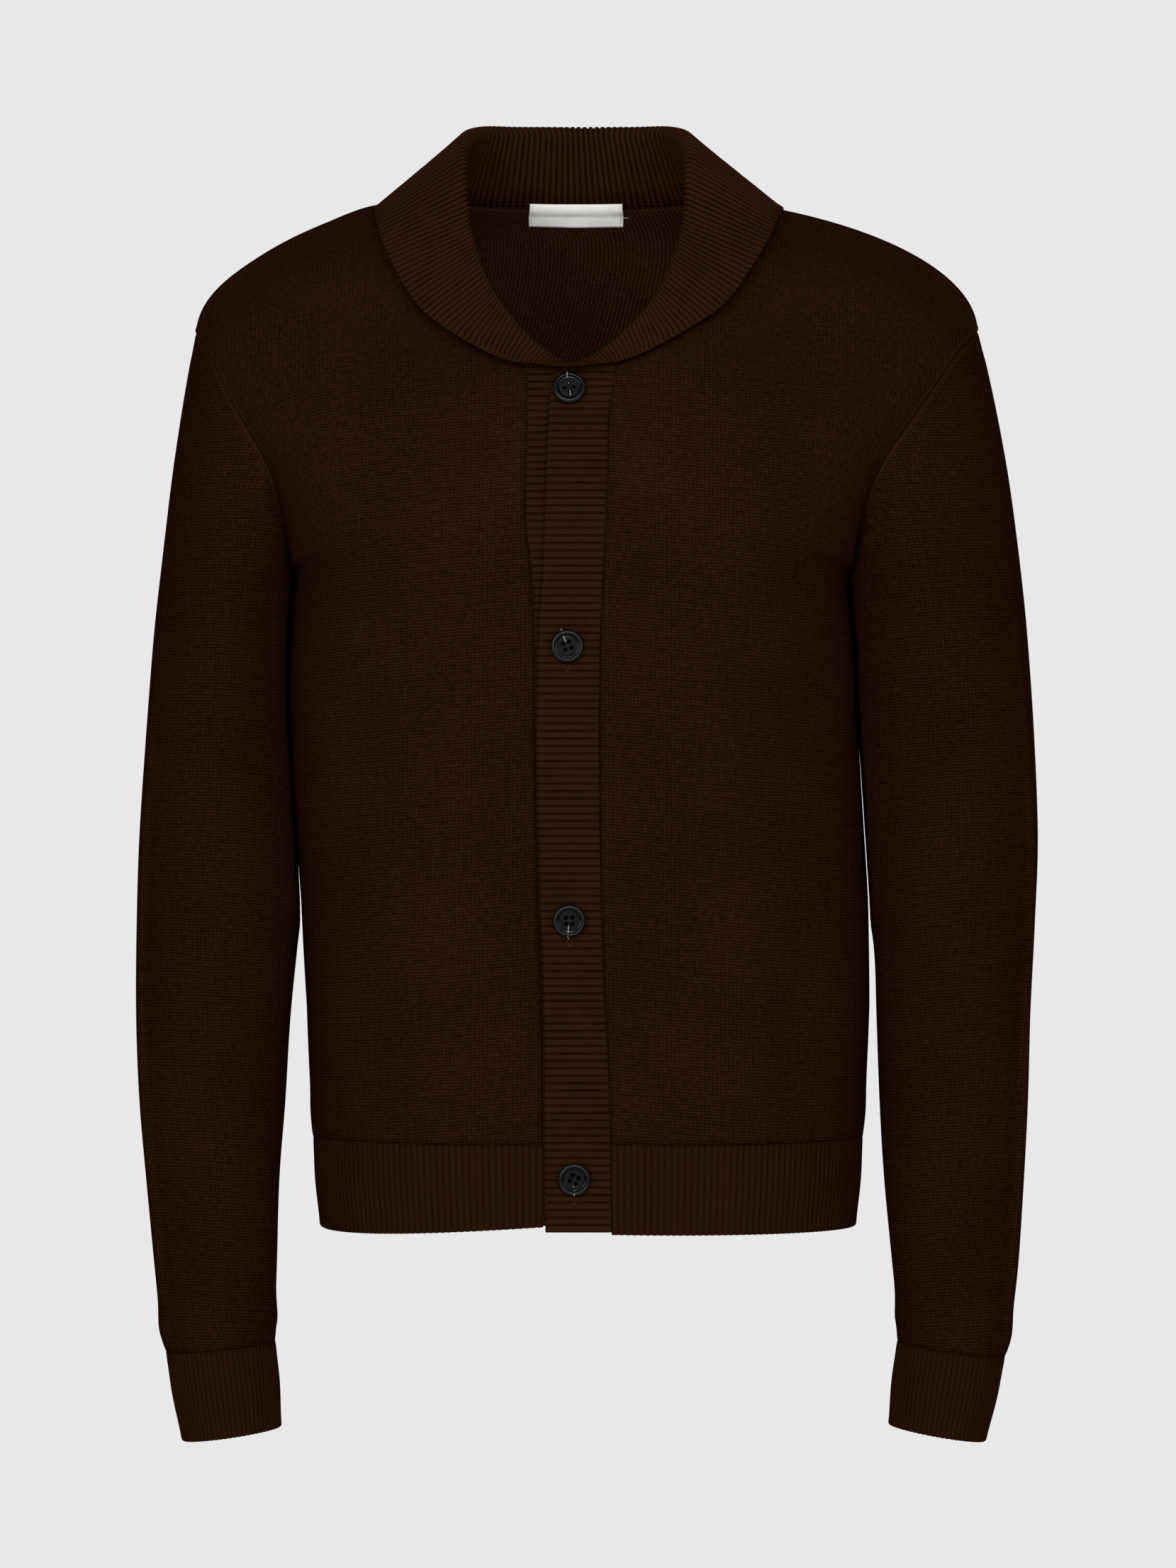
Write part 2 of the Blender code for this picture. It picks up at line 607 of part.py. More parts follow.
def flat_normals(line, closed, ends=None):
    """The level outward normals of a line that runs round the garment or a sleeve; ends gives an
    open line's first and last ones, so that its ends meet the next piece flush."""
    if closed:
        ring = line[:-1]
        along = np.roll(ring, -1, axis=0) - np.roll(ring, 1, axis=0)
        along = np.concatenate([along, along[:1]])
        middle = ring.mean(axis=0)
    else:
        along = np.gradient(line, axis=0)
        middle = line.mean(axis=0) * np.array([0.0, 0.0, 1.0])
    normals = unit(np.cross(along, point(0, 0, 1)))
    normals = normals if (normals * (line - middle)).sum() > 0 else -normals
    if ends:
        normals[0], normals[-1] = ends
    return normals


def inset_line(line, gap):
    """A line without this much length at each end."""
    length = np.linalg.norm(np.diff(line, axis=0), axis=1).sum()
    ends = gap / length
    return resampled(line, np.linspace(ends, 1 - ends, len(line)))


def make_hem(material):
    dense = np.linspace(0, 1, HEM_POINTS)
    for name, side in (("hem_front_left", LEFT), ("hem_front_right", RIGHT)):
        lines = []
        for index, drop in ((HEM_SEAM_ROW, -SEAM / 2), (HEM_BOTTOM_ROW, 0.0)):
            line = front_row(side, index, dense) + point(0, 0, drop)
            lines.append(inset_line(line, SEAM / 2))
        ribs = round(np.linalg.norm(np.diff(lines[0], axis=0), axis=1).sum() / HEM_PITCH)
        ends = (FRONT_AXIS, point(side, 0, 0))
        ribbed_wall(name, lines[0], lines[1], ribs, material, ends)
    lines = []
    for index, drop in ((HEM_SEAM_ROW, -SEAM / 2), (HEM_BOTTOM_ROW, 0.0)):
        line = back_row(index, dense) + point(0, 0, drop)
        lines.append(inset_line(line, SEAM / 2))
    ribs = round(np.linalg.norm(np.diff(lines[0], axis=0), axis=1).sum() / HEM_PITCH)
    ends = (point(RIGHT, 0, 0), point(LEFT, 0, 0))
    ribbed_wall("hem_back", lines[0], lines[1], ribs, material, ends)


def make_cuffs(material):
    turns = np.linspace(0, 1, CUFF_POINTS)
    for name, side in (("cuff_left", LEFT), ("cuff_right", RIGHT)):
        table = SLEEVE_LEFT if side == LEFT else SLEEVE_RIGHT
        top = oval(table.at(CUFF_SEAM_RING), side, turns)
        bottom = oval(table.at(CUFF_EDGE_RING), side, turns)
        top += unit(bottom - top) * SEAM
        ribs = round(np.linalg.norm(np.diff(top, axis=0), axis=1).sum() / CUFF_PITCH)
        ribbed_wall(name, top, bottom, ribs, material)


# ---------------------------------------------------------------- front bands


def front_depth(z):
    """The y of the closed fronts' outer surface at the bands, straight between the rows."""
    heights = FRONT.rows[:, FRONT.names.index("in_z")]
    return float(np.interp(z, heights, FRONT.rows[:, FRONT.names.index("in_y")]))


def band_normal(z):
    """The way out of the closed fronts at a height, from their slope over a short reach."""
    z = min(z, BAND_TOP_Z - BAND_SLOPE_REACH)
    rise = front_depth(z + BAND_SLOPE_REACH) - front_depth(z - BAND_SLOPE_REACH)
    rise /= 2 * BAND_SLOPE_REACH
    return unit(point(0.0, -1.0, rise))


def band_point(x, z, lift):
    """A point of the closed fronts, this far out from their surface."""
    return point(x, front_depth(z), z) + lift * band_normal(z)


def make_band(name, seam_edge, free_edge, lift, material):
    """A ribbed strip up the front, between its seam and its free edge, each given as x at a height."""
    ribs = round((BAND_TOP_Z - BAND_BOTTOM_Z) / BAND_PITCH)
    heights = np.linspace(BAND_BOTTOM_Z, BAND_TOP_Z, 2 * ribs + 1)
    outer = []
    for number, z in enumerate(heights):
        groove = RIB_DEPTH * (number % 2)
        outer.append([band_point(x(z), z, lift - groove) for x in (seam_edge, free_edge)])
    inner = []
    for z in np.linspace(BAND_BOTTOM_Z, BAND_TOP_Z, BAND_BACK_ROWS):
        inner.append([band_point(x(z), z, lift - RIB_WALL) for x in (seam_edge, free_edge)])
    cloth(name, outer, inner, material)


def band_seam(walls, nearer):
    """The x of a front's band seam at a height: of its outer and inner edges, the one that reaches
    nearer to the band."""
    outer, inner = (wall[:, 0] for wall in walls)

    def reader(height):
        return nearer(
            float(np.interp(height, outer[:, 2], outer[:, 0])),
            float(np.interp(height, inner[:, 2], inner[:, 0])),
        )

    return reader


def make_bands(panels, material):
    """The buttonhole band, a little proud of the left front, and the button band under it."""
    left = band_seam(panels["front_left"], min)
    right = band_seam(panels["front_right"], max)
    make_band(
        "band_left",
        lambda z: left(z) - BAND_GAP,
        lambda z: BAND_EDGE.level(z).x,
        LAYER_GAP,
        material,
    )
    make_band(
        "band_right",
        lambda z: right(z) + BAND_GAP,
        lambda z: min(right(z) + BAND_WIDTH, left(z) - BUTTON_BAND_STOP),
        -RIB_WALL - SEAM,
        material,
    )


# ---------------------------------------------------------------- collar


def neckline(panels):
    """The neckline's edge and the way out of the cloth there, from the right front's band round the
    back to the left front's."""
    outers, inners, besides = [], [], []

    def add(outer, inner, beside):
        outers.append(outer)
        inners.append(inner)
        besides.append(beside)

    start = list(panel_rows()).index(NECKLINE_ROW)
    outer, inner = panels["front_right"]
    for r in range(start, len(outer)):
        add(outer[r, 0], inner[r, 0], outer[r, 1])
    outer, inner = panels["back"]
    middle = outer.shape[1] // 2
    for c in range(middle - NECK_COLUMNS + 1, middle + NECK_COLUMNS):
        add(outer[-1, c], inner[-1, c], outer[-2, c])
    outer, inner = panels["front_left"]
    for r in range(len(outer) - 1, start - 1, -1):
        add(outer[r, 0], inner[r, 0], outer[r, 1])
    outers, inners, besides = np.array(outers), np.array(inners), np.array(besides)
    along = unit(np.gradient(outers, axis=0))
    ways = outers - besides
    ways = unit(ways - (ways * along).sum(axis=1, keepdims=True) * along)
    reach = np.abs(((inners - outers) * ways).sum(axis=1, keepdims=True)) / 2
    return (outers + inners) / 2 + ways * reach, ways


def tangent_point(away, radius, sense):
    """Where a line from a point (given from the circle's centre) touches the circle."""
    far = math.hypot(*away)
    turn = sense * math.acos(min(1.0, radius / far))
    c, s = math.cos(turn), math.sin(turn)
    x, y = away[0] / far, away[1] / far
    return radius * np.array([c * x - s * y, s * x + c * y])


def collar_profile(seam, roll, edge, fold, bow):
    """The wall's middle line from the neck seam over the roll to the free edge, and its normals on
    the side that shows."""
    up = unit(roll - seam)
    away = edge - roll
    out = unit(away - (away @ up) * up)
    centre = roll - fold * up

    def flat(p):
        return np.array([(p - centre) @ up, (p - centre) @ out])

    leave = tangent_point(flat(seam), fold, 1)
    arrive = tangent_point(flat(edge), fold, -1)
    first = math.atan2(leave[1], leave[0])
    last = math.atan2(arrive[1], arrive[0])
    stand = [flat(seam) + (leave - flat(seam)) * t for t in np.linspace(0, 1, STAND_STEPS + 1)]
    turn = [
        fold * np.array([math.cos(a), math.sin(a)])
        for a in np.linspace(first, last, FOLD_STEPS + 1)
    ]
    fall = []
    for t in np.linspace(0, 1, FALL_STEPS + 1):
        along = unit(flat(edge) - arrive)
        outwards = np.array([-along[1], along[0]])
        fall.append(arrive + (flat(edge) - arrive) * t + bow * math.sin(math.pi * t) * outwards)
    line = np.array(stand[:-1] + turn + fall[1:])
    along = unit(np.gradient(line, axis=0))
    sideways = np.stack([along[:, 1], -along[:, 0]], axis=1)
    frame = np.stack([up, out])
    return centre + line @ frame, sideways @ frame


def collar_station(place, mids, ways):
    """The collar's profile at a place from -1, the right front's point, to 1, the left front's."""
    side = LEFT if place > 0 else RIGHT
    index = COLLAR.last * (1 - abs(place))
    row = COLLAR.at(index)
    half = 0.5 * min(max(row.seam, 0.0), 1.0)
    where = half if side == RIGHT else 1 - half
    steps = np.linalg.norm(np.diff(mids, axis=0), axis=1)
    along = np.concatenate([[0.0], np.cumsum(steps)]) / steps.sum()
    seam = np.array([np.interp(where, along, mids[:, k]) for k in range(3)])
    way = unit(np.array([np.interp(where, along, ways[:, k]) for k in range(3)]))
    sunk = UNDER_LAYER * max(0.0, 1 - index / COLLAR_UNDER_STATIONS) if side == RIGHT else 0.0
    roll = point(lean(side * row.roll_x, row.roll_z), row.roll_y + sunk, row.roll_z)
    edge = point(lean(side * row.edge_x, row.edge_z), row.edge_y + sunk, row.edge_z)
    across = np.linalg.norm(np.cross(unit(roll - seam), way))
    seam = seam + way * (COLLAR_GAP + RIB_WALL / 2 * across)
    return collar_profile(seam, roll, edge, row.fold, row.bow)


def make_collar(panels, material):
    mids, ways = neckline(panels)
    probe = np.linspace(-1, 1, COLLAR_PROBES)
    middles = np.array([collar_station(p, mids, ways)[0][-3] for p in probe])
    along = np.concatenate([[0.0], np.cumsum(np.linalg.norm(np.diff(middles, axis=0), axis=1))])

    def places(count):
        return np.interp(np.linspace(0, along[-1], count), along, probe)

    face = []
    for number, place in enumerate(places(2 * COLLAR_RIBS + 1)):
        line, normals = collar_station(place, mids, ways)
        height = RIB_WALL / 2 - RIB_DEPTH * (number % 2)
        face.append(line + height * normals)
    back = []
    for place in places(2 * COLLAR_RIBS // 5 + 1):
        line, normals = collar_station(place, mids, ways)
        back.append(line - RIB_WALL / 2 * normals)
    cloth("collar", face, back, material)


# ---------------------------------------------------------------- label and buttons


def make_label(panels, material):
    """A blank label sewn inside the back, just under the neck seam."""
    inner = panels["back"][1]
    middle = inner.shape[1] // 2
    edge = inner[-1, middle - NECK_COLUMNS : middle + NECK_COLUMNS + 1]
    down = unit(inner[-2, middle] - inner[-1, middle])
    inwards = unit(np.cross(down, point(1, 0, 0)))
    inwards = inwards if inwards[1] < 0 else -inwards
    across = LABEL_CENTRE_X + LABEL_WIDTH * np.linspace(-0.5, 0.5, LABEL_COLUMNS + 1)
    top = np.array([point(x, np.interp(x, edge[:, 0], edge[:, 1]), edge[0, 2]) for x in across])
    rows = np.array([top + down * SEAM, top + down * LABEL_HEIGHT])
    lie = rows + inwards * LAYER_GAP
    cloth("neck_label", lie + inwards * LABEL_THICKNESS, lie, material)


def make_button(name, x, z, material):
    """A turned button with a raised round rim and four holes, flat on the band."""
    profile = (
        (0.0, 0.0),
        (0.88, 0.0),
        (1.0, 0.45),
        (0.93, 0.95),
        (0.80, 1.0),
        (0.62, 0.62),
        (0.0, 0.55),
    )
    sides = 20
    points = [point(0, 0, 0)]
    for radius, height in profile[1:-1]:
        for k in range(sides):
            a = 2 * math.pi * k / sides
            r = radius * BUTTON_RADIUS
            points.append(point(r * math.cos(a), r * math.sin(a), height * BUTTON_THICKNESS))
    points.append(point(0, 0, profile[-1][1] * BUTTON_THICKNESS))
    faces = []
    for k in range(sides):
        after = (k + 1) % sides
        faces.append((0, 1 + after, 1 + k))
        for ring in range(len(profile) - 3):
            a, b = 1 + ring * sides, 1 + (ring + 1) * sides
            faces.append((a + k, a + after, b + after))
            faces.append((a + k, b + after, b + k))
        last = 1 + (len(profile) - 3) * sides
        faces.append((last + k, last + after, len(points) - 1))
    made = solid(name, points, faces, material)
    cut_holes(made)
    normal = band_normal(z)
    seat = band_point(x, z, LAYER_GAP + BUTTON_CLEAR)
    across = point(1, 0, 0)
    turned = Matrix(np.stack([across, np.cross(normal, across), normal], axis=1).tolist())
    made.matrix_world = Matrix.Translation(seat.tolist()) @ turned.to_4x4()
    return made


def cut_holes(button):
    """Cuts the four holes with one cutter of four pins, and keeps only the result."""
    shape = bmesh.new()
    for a in (-1, 1):
        for b in (-1, 1):
            made = bmesh.ops.create_cone(
                shape,
                cap_ends=True,
                segments=6,
                radius1=BUTTON_HOLE_RADIUS,
                radius2=BUTTON_HOLE_RADIUS,
                depth=4 * BUTTON_THICKNESS,
            )
            bmesh.ops.translate(
                shape, verts=made["verts"], vec=(a * BUTTON_HOLE_SPREAD, b * BUTTON_HOLE_SPREAD, 0)
            )
    mesh = bpy.data.meshes.new(button.name + "_pins")
    shape.to_mesh(mesh)
    shape.free()
    cutter = bpy.data.objects.new(button.name + "_pins", mesh)
    bpy.context.scene.collection.objects.link(cutter)
    cutter.hide_render = True
    cutter.display_type = "WIRE"
    cutter.parent = button
    cut = button.modifiers.new("holes", "BOOLEAN")
    cut.operation = "DIFFERENCE"
    cut.solver = "EXACT"
    cut.object = cutter


def main():
    for old in list(bpy.data.objects):
        bpy.data.objects.remove(old)
    jersey = finish("dark_brown_jersey", JERSEY_COLOUR, JERSEY_ROUGHNESS)
    rib = finish("dark_brown_rib", RIB_COLOUR, RIB_ROUGHNESS)
    panels = make_panels(jersey)
    make_hem(rib)
    make_cuffs(rib)
    make_bands(panels, rib)
    make_collar(panels, rib)
    make_label(panels, finish("plain_label", LABEL_COLOUR, LABEL_ROUGHNESS))
    horn = finish("dark_button", BUTTON_COLOUR, BUTTON_ROUGHNESS)
    for number, (x, z) in enumerate(BUTTONS.rows, start=1):
        make_button(f"button_{number}", x, z, horn)


main()
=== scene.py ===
# %% [markdown]
# # A shawl collar cardigan
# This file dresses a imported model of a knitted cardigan. The model holds the pieces that a
# knitwear maker would link together: a back, two fronts, two sleeves, and the ribbed hem, cuffs,
# front bands and collar. Here each of them gets a finer wall, its ribs, its seams and its yarn.

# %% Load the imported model
import math
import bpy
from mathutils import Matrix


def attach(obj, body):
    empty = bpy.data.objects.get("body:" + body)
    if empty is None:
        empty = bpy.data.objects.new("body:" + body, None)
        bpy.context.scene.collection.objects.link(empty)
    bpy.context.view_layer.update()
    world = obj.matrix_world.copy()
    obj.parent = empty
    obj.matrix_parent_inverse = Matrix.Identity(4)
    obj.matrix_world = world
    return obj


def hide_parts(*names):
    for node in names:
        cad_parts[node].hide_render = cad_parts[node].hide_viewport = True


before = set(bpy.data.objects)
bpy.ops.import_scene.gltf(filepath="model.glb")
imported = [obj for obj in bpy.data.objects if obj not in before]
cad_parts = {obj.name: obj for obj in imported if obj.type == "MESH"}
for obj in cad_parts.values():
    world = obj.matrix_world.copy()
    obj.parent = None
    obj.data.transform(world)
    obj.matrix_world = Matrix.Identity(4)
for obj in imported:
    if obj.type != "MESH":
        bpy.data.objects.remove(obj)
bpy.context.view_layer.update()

from types import SimpleNamespace

import bmesh
import bpy
import numpy as np

print("nodes:", len(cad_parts))

# %% [markdown]
# ## Camera, floor and light
# The camera looks straight at the front from 4 m, with a long lens, so the cardigan is hardly
# foreshortened. As in a studio, the pale surround that the camera sees is lit by itself, and only
# a part of it falls on the wool. Two tall soft boxes, left and right in front, and a wide one
# between them do the rest.

# %% Camera
METRES_PER_PIXEL = 0.00044
FRAME_HEIGHT = 2212
SENSOR_HEIGHT = 36.0
DISTANCE = 4.0
CAMERA_HEIGHT = -0.363


def linked(name, data):
    """A new object in the scene that shows this data."""
    made = bpy.data.objects.new(name, data)
    bpy.context.scene.collection.objects.link(made)
    return made


camera = linked("camera", bpy.data.cameras.new("camera"))
camera.data.sensor_fit = "VERTICAL"
camera.data.sensor_height = SENSOR_HEIGHT
camera.data.lens = SENSOR_HEIGHT * DISTANCE / (FRAME_HEIGHT * METRES_PER_PIXEL)
camera.location = (0.0, -DISTANCE, CAMERA_HEIGHT)
camera.rotation_euler = (math.pi / 2, 0.0, 0.0)
bpy.context.scene.camera = camera
print("lens:", round(camera.data.lens, 1), "mm")

# %% Floor, surround and soft boxes
FLOOR_HEIGHT, FLOOR_RADIUS = -1.70, 3.2
PALE, SURROUND_SHARE = 0.807, 0.52
LEFT_POWER, RIGHT_POWER, FRONT_POWER = 38.0, 25.0, 41.0


def soft_box(name, place, size, power):
    lamp = bpy.data.lights.new(name, "AREA")
    lamp.shape = "RECTANGLE"
    lamp.size, lamp.size_y = size
    lamp.energy = power
    made = linked(name, lamp)
    made.location = place
    aim = np.array([0.0, 0.0, CAMERA_HEIGHT]) - np.array(place)
    made.rotation_euler = (
        math.atan2(math.hypot(aim[0], aim[1]), -aim[2]),
        0.0,
        math.atan2(aim[1], aim[0]) - math.pi / 2,
    )


def studio():
    """An even pale surround, which gives the cardigan less light than it shows the camera."""
    world = bpy.data.worlds.new("studio")
    world.use_nodes = True
    nodes, links = world.node_tree.nodes, world.node_tree.links
    seen = nodes["Background"]
    seen.inputs["Color"].default_value = (PALE, PALE, PALE, 1.0)
    felt = nodes.new("ShaderNodeBackground")
    felt.inputs["Color"].default_value = (PALE, PALE, PALE, 1.0)
    felt.inputs["Strength"].default_value = SURROUND_SHARE
    rays, mixed = nodes.new("ShaderNodeLightPath"), nodes.new("ShaderNodeMixShader")
    links.new(rays.outputs["Is Camera Ray"], mixed.inputs[0])
    links.new(felt.outputs[0], mixed.inputs[1])
    links.new(seen.outputs[0], mixed.inputs[2])
    links.new(mixed.outputs[0], nodes["World Output"].inputs["Surface"])
    return world


def floor():
    """A pale disc, far enough below the hem that no shadow on it shows."""
    shape = bmesh.new()
    bmesh.ops.create_circle(shape, cap_ends=True, segments=96, radius=FLOOR_RADIUS)
    mesh = bpy.data.meshes.new("floor")
    shape.to_mesh(mesh)
    shape.free()
    for corner in mesh.vertices:
        corner.co.z = FLOOR_HEIGHT
    material = bpy.data.materials.new("pale_floor")
    material.use_nodes = True
    shader = material.node_tree.nodes["Principled BSDF"]
    shader.inputs["Base Color"].default_value = (PALE, PALE, PALE, 1.0)
    shader.inputs["Roughness"].default_value = 0.9
    mesh.materials.append(material)
    made = linked("floor", mesh)


bpy.context.scene.view_settings.view_transform = "Standard"
bpy.context.scene.world = studio()
floor()
soft_box("soft_box_left", (-1.45, -3.1, 0.30), (0.6, 2.2), LEFT_POWER)
soft_box("soft_box_right", (1.45, -3.1, 0.30), (0.6, 2.2), RIGHT_POWER)
soft_box("soft_box_front", (0.0, -3.5, 0.75), (1.4, 0.5), FRONT_POWER)
print("surround:", SURROUND_SHARE, "boxes:", LEFT_POWER, RIGHT_POWER, FRONT_POWER, "W")

# %% [markdown]
# ## Maths on sockets
# Shader trees and geometry trees are both made of nodes, and their maths is easier to read as
# Python. `Wire` wraps one socket, so that `1 - mask * 0.4` adds the Math nodes that it needs.
# `Net.add` makes any other node from its type, its settings and the values of its sockets.

# %% Wire and Net
class Wire:
    def __init__(self, net, socket):
        self.net, self.socket = net, socket

    def math(self, operation, *others):
        return self.net.add("ShaderNodeMath", {"operation": operation}, [self, *others])

    def __add__(self, other):
        return self.math("ADD", other)

    def __mul__(self, other):
        return self.math("MULTIPLY", other)

    __radd__, __rmul__ = __add__, __mul__

    def __sub__(self, other):
        return self.math("SUBTRACT", other)

    def __rsub__(self, other):
        return self.net.add("ShaderNodeMath", {"operation": "SUBTRACT"}, [other, self])

    def __truediv__(self, other):
        return self.math("DIVIDE", other)

    def __pow__(self, other):
        return self.math("POWER", other)


class Net:
    def __init__(self, tree):
        self.tree = tree

    def add(self, kind, settings=None, values=(), out=0):
        node = self.tree.nodes.new(kind)
        for key, value in (settings or {}).items():
            setattr(node, key, value)
        pairs = values.items() if isinstance(values, dict) else enumerate(values)
        for key, value in pairs:
            if isinstance(value, Wire):
                self.tree.links.new(value.socket, node.inputs[key])
            else:
                node.inputs[key].default_value = value
        return Wire(self, node.outputs[out])


def wave(x):
    """1 at whole numbers of x and 0 half way between them."""
    return (x * (2 * math.pi)).math("COSINE") * 0.5 + 0.5


print("maths ready")

# %% [markdown]
# ## Yarn and knit
# The body is a fine textured knit, two courses to a repeat: one course sinks to a dark line, and
# the other only shows a row of pin holes, one between each wale and the next. That is far too many
# stitches for geometry, so the knit is a pattern on the piece's own UV map, which is measured in
# metres along the cloth: it darkens the holes and lines with painted shade, where light reaches
# less far into the knit, and lifts the loops with a bump.

# %% Plain finishes and the knit's pattern
WALE, COURSE = 0.00252, 0.0018
YARN = (0.0264, 0.0089, 0.0042)
RIB_YARN = (0.0280, 0.0097, 0.0043)
# the reverse's yarn is about 1.6 times as light as the face's: painted light for the inside seen
# through the neck, where little light reaches
REVERSE_YARN_PAINTED_LIGHT = (0.0420, 0.0145, 0.0084)
SLEEVE_PAINTED_SHADE, HEM_CUFF_PAINTED_SHADE, COLLAR_PAINTED_LIGHT = 0.88, 0.73, 1.04  # painted light and shade: the one yarn made darker on the sleeves, hem and cuffs, and lighter on the collar, as their light falls
PATCH_SCALE, FIBRE_SCALE = 14.0, 1400.0
LOOP_BUMP, REVERSE_BUMP = 0.0005, 0.0007


def new_material(name, colour, roughness, specular):
    material = bpy.data.materials.new(name)
    material.use_nodes = True
    shader = material.node_tree.nodes["Principled BSDF"]
    shader.inputs["Base Color"].default_value = (*colour, 1.0)
    shader.inputs["Roughness"].default_value = roughness
    shader.inputs["Specular IOR Level"].default_value = specular
    return material, shader, Net(material.node_tree)


def noise(net, place, scale, detail, dimensions="2D"):
    values = {"Vector": place, "Scale": scale, "Detail": detail}
    return net.add("ShaderNodeTexNoise", {"noise_dimensions": dimensions}, values)


def uv_map(net):
    """The u and v of the piece's own map, and the map itself."""
    uv = net.add("ShaderNodeUVMap", {"uv_map": "cloth"})
    u = net.add("ShaderNodeSeparateXYZ", values=[uv])
    return u, Wire(net, u.socket.node.outputs[1]), uv


def cloth_place(net):
    """The cloth's own u and v in metres, with the small wander that knitted rows have."""
    u, v, uv = uv_map(net)
    wander, drift = noise(net, uv, 95.0, 1.0), noise(net, uv, 240.0, 0.0)
    return u + (drift - 0.5) * 0.0008, v + (wander - 0.5) * 0.0010 + (drift - 0.5) * 0.0006, uv


def stitch_chance(net, columns, rows, layer):
    """A number from 0 to 1 for each stitch, so that no two look quite the same."""
    column, row = (columns + 0.5).math("FLOOR"), (rows + 0.5).math("FLOOR")
    cell = net.add("ShaderNodeCombineXYZ", values=[column, row, layer])
    return net.add("ShaderNodeTexWhiteNoise", {"noise_dimensions": "3D"}, {"Vector": cell})


def tone(net, place, slow_share, fine_share, dimensions="2D"):
    """Slow changes of depth over the cloth, and the speckle of single fibres."""
    slow = noise(net, place, PATCH_SCALE, 3.0, dimensions)
    fine = noise(net, place, FIBRE_SCALE, 1.0, dimensions)
    return (slow - 0.5) * slow_share + (fine - 0.5) * fine_share + 1.0


def paint(net, shader, colour, depth, height, distance):
    """The colour, as deep as depth says, and a bump from the height."""
    mixed = net.add("ShaderNodeVectorMath", {"operation": "SCALE"}, {0: colour, "Scale": depth})
    net.tree.links.new(mixed.socket, shader.inputs["Base Color"])
    lifted = {"Strength": 0.8, "Distance": distance, "Height": height}
    net.tree.links.new(net.add("ShaderNodeBump", values=lifted).socket, shader.inputs["Normal"])


print("yarn colour:", YARN)

# %% Jersey, its face and its reverse
def jersey_face(name, lightness):
    yarn = tuple(c * lightness for c in YARN)
    material, shader, net = new_material(name, yarn, 0.9, 0.0)
    u, v, uv = cloth_place(net)
    across, along, legs = wave(u / WALE), wave(v / COURSE), wave(u / (WALE * 0.5))
    chance = stitch_chance(net, u / (WALE * 0.5), v / COURSE, 1.0)
    edge = net.add("ShaderNodeAttribute", {"attribute_name": "selvedge_highlight"}, out=2)
    patchy = noise(net, uv, 300.0, 2.0)
    line = wave(v / (COURSE * 2)) ** 2.0
    # painted shade: the pin holes, the gaps between the legs and the sunk course are darkened, as
    # light reaches less far into the knit there
    dots = (legs * 0.5 + across * 0.3 + 0.2) * along * (chance * 0.6 + 0.7)
    dark = dots * 0.58 + legs * 0.15 + across * 0.09 + along * 0.07 + line * 0.08
    dark = (dark + (patchy - 0.5) * 0.60).math("MINIMUM", 0.68)
    # at the selvedge the knit's painted shade fades, and a painted highlight lightens the seam's
    # ridge
    depth = (1 - dark * (1 - edge * 0.8) + edge * 0.10) * tone(net, uv, 0.40, 0.55)
    paint(net, shader, yarn, depth, 1 - dots - legs * 0.3, LOOP_BUMP)
    return material


def jersey_reverse():
    # the inside's lighter yarn is painted light
    material, shader, net = new_material("jersey_reverse", REVERSE_YARN_PAINTED_LIGHT, 0.9, 0.0)
    u, v, uv = cloth_place(net)
    repeat = v / (COURSE * 2)
    chance = stitch_chance(net, u / WALE, repeat * 2, 2.0)
    loop = wave(u / WALE) * wave(repeat) ** 2.0 + wave(u / WALE + 0.5) * wave(repeat + 0.5) ** 2.0
    loop = loop * (chance * 0.6 + 0.7)
    # painted shade between the loops, which stand up lighter
    depth = (loop * 1.35 + 0.20) * tone(net, uv, 0.40, 0.55)
    paint(net, shader, REVERSE_YARN_PAINTED_LIGHT, depth, loop, REVERSE_BUMP)
    return material


JERSEY_FACE = jersey_face("jersey_face", 1.0)
# the sleeves' face is the body's knit made darker: painted shade
SLEEVE_FACE_PAINTED_SHADE = jersey_face("sleeve_face", SLEEVE_PAINTED_SHADE)
JERSEY_REVERSE_PAINTED_LIGHT = jersey_reverse()
print(JERSEY_FACE.name, SLEEVE_FACE_PAINTED_SHADE.name, JERSEY_REVERSE_PAINTED_LIGHT.name)

# %% [markdown]
# ## Rib
# A rib is the same yarn, but its ridges are real geometry. The pattern adds only what lies on a
# ridge: the chevrons of its stitches, and the shade at the bottom of each groove. Here u counts
# ribs, and v is metres along them.

# %% Rib finish
RIB_STITCH = 0.0021


def rib_finish(name, lightness, ridge, groove_shade, middle_shade):
    """ridge is how far a light ridge reaches from the rib's middle, as a share of half the rib."""
    yarn = tuple(c * lightness for c in RIB_YARN)
    material, shader, net = new_material(name, yarn, 0.9, 0.0)
    u, v, _ = uv_map(net)
    side = (u.math("FRACT") - 0.5).math("ABSOLUTE") * 2.0
    stitch = wave(v / RIB_STITCH + side * 0.45)

    def step(start, end):
        limits = {"Value": side, "From Min": start, "From Max": end}
        return net.add("ShaderNodeMapRange", {"interpolation_type": "SMOOTHSTEP"}, limits)

    groove, middle = step(ridge - 0.15, ridge + 0.25), 1 - step(0.0, 0.25)
    dark = groove * groove_shade + middle * middle_shade + stitch * 0.10
    place = net.add("ShaderNodeTexCoord", out=3)
    uneven = noise(net, place, 120.0, 1.0, "3D")
    depth = (1 - dark * (uneven * 0.7 + 0.65)) * tone(net, place, 0.26, 0.5, "3D")
    paint(net, shader, yarn, depth, 1 - stitch * 0.5, LOOP_BUMP)
    return material


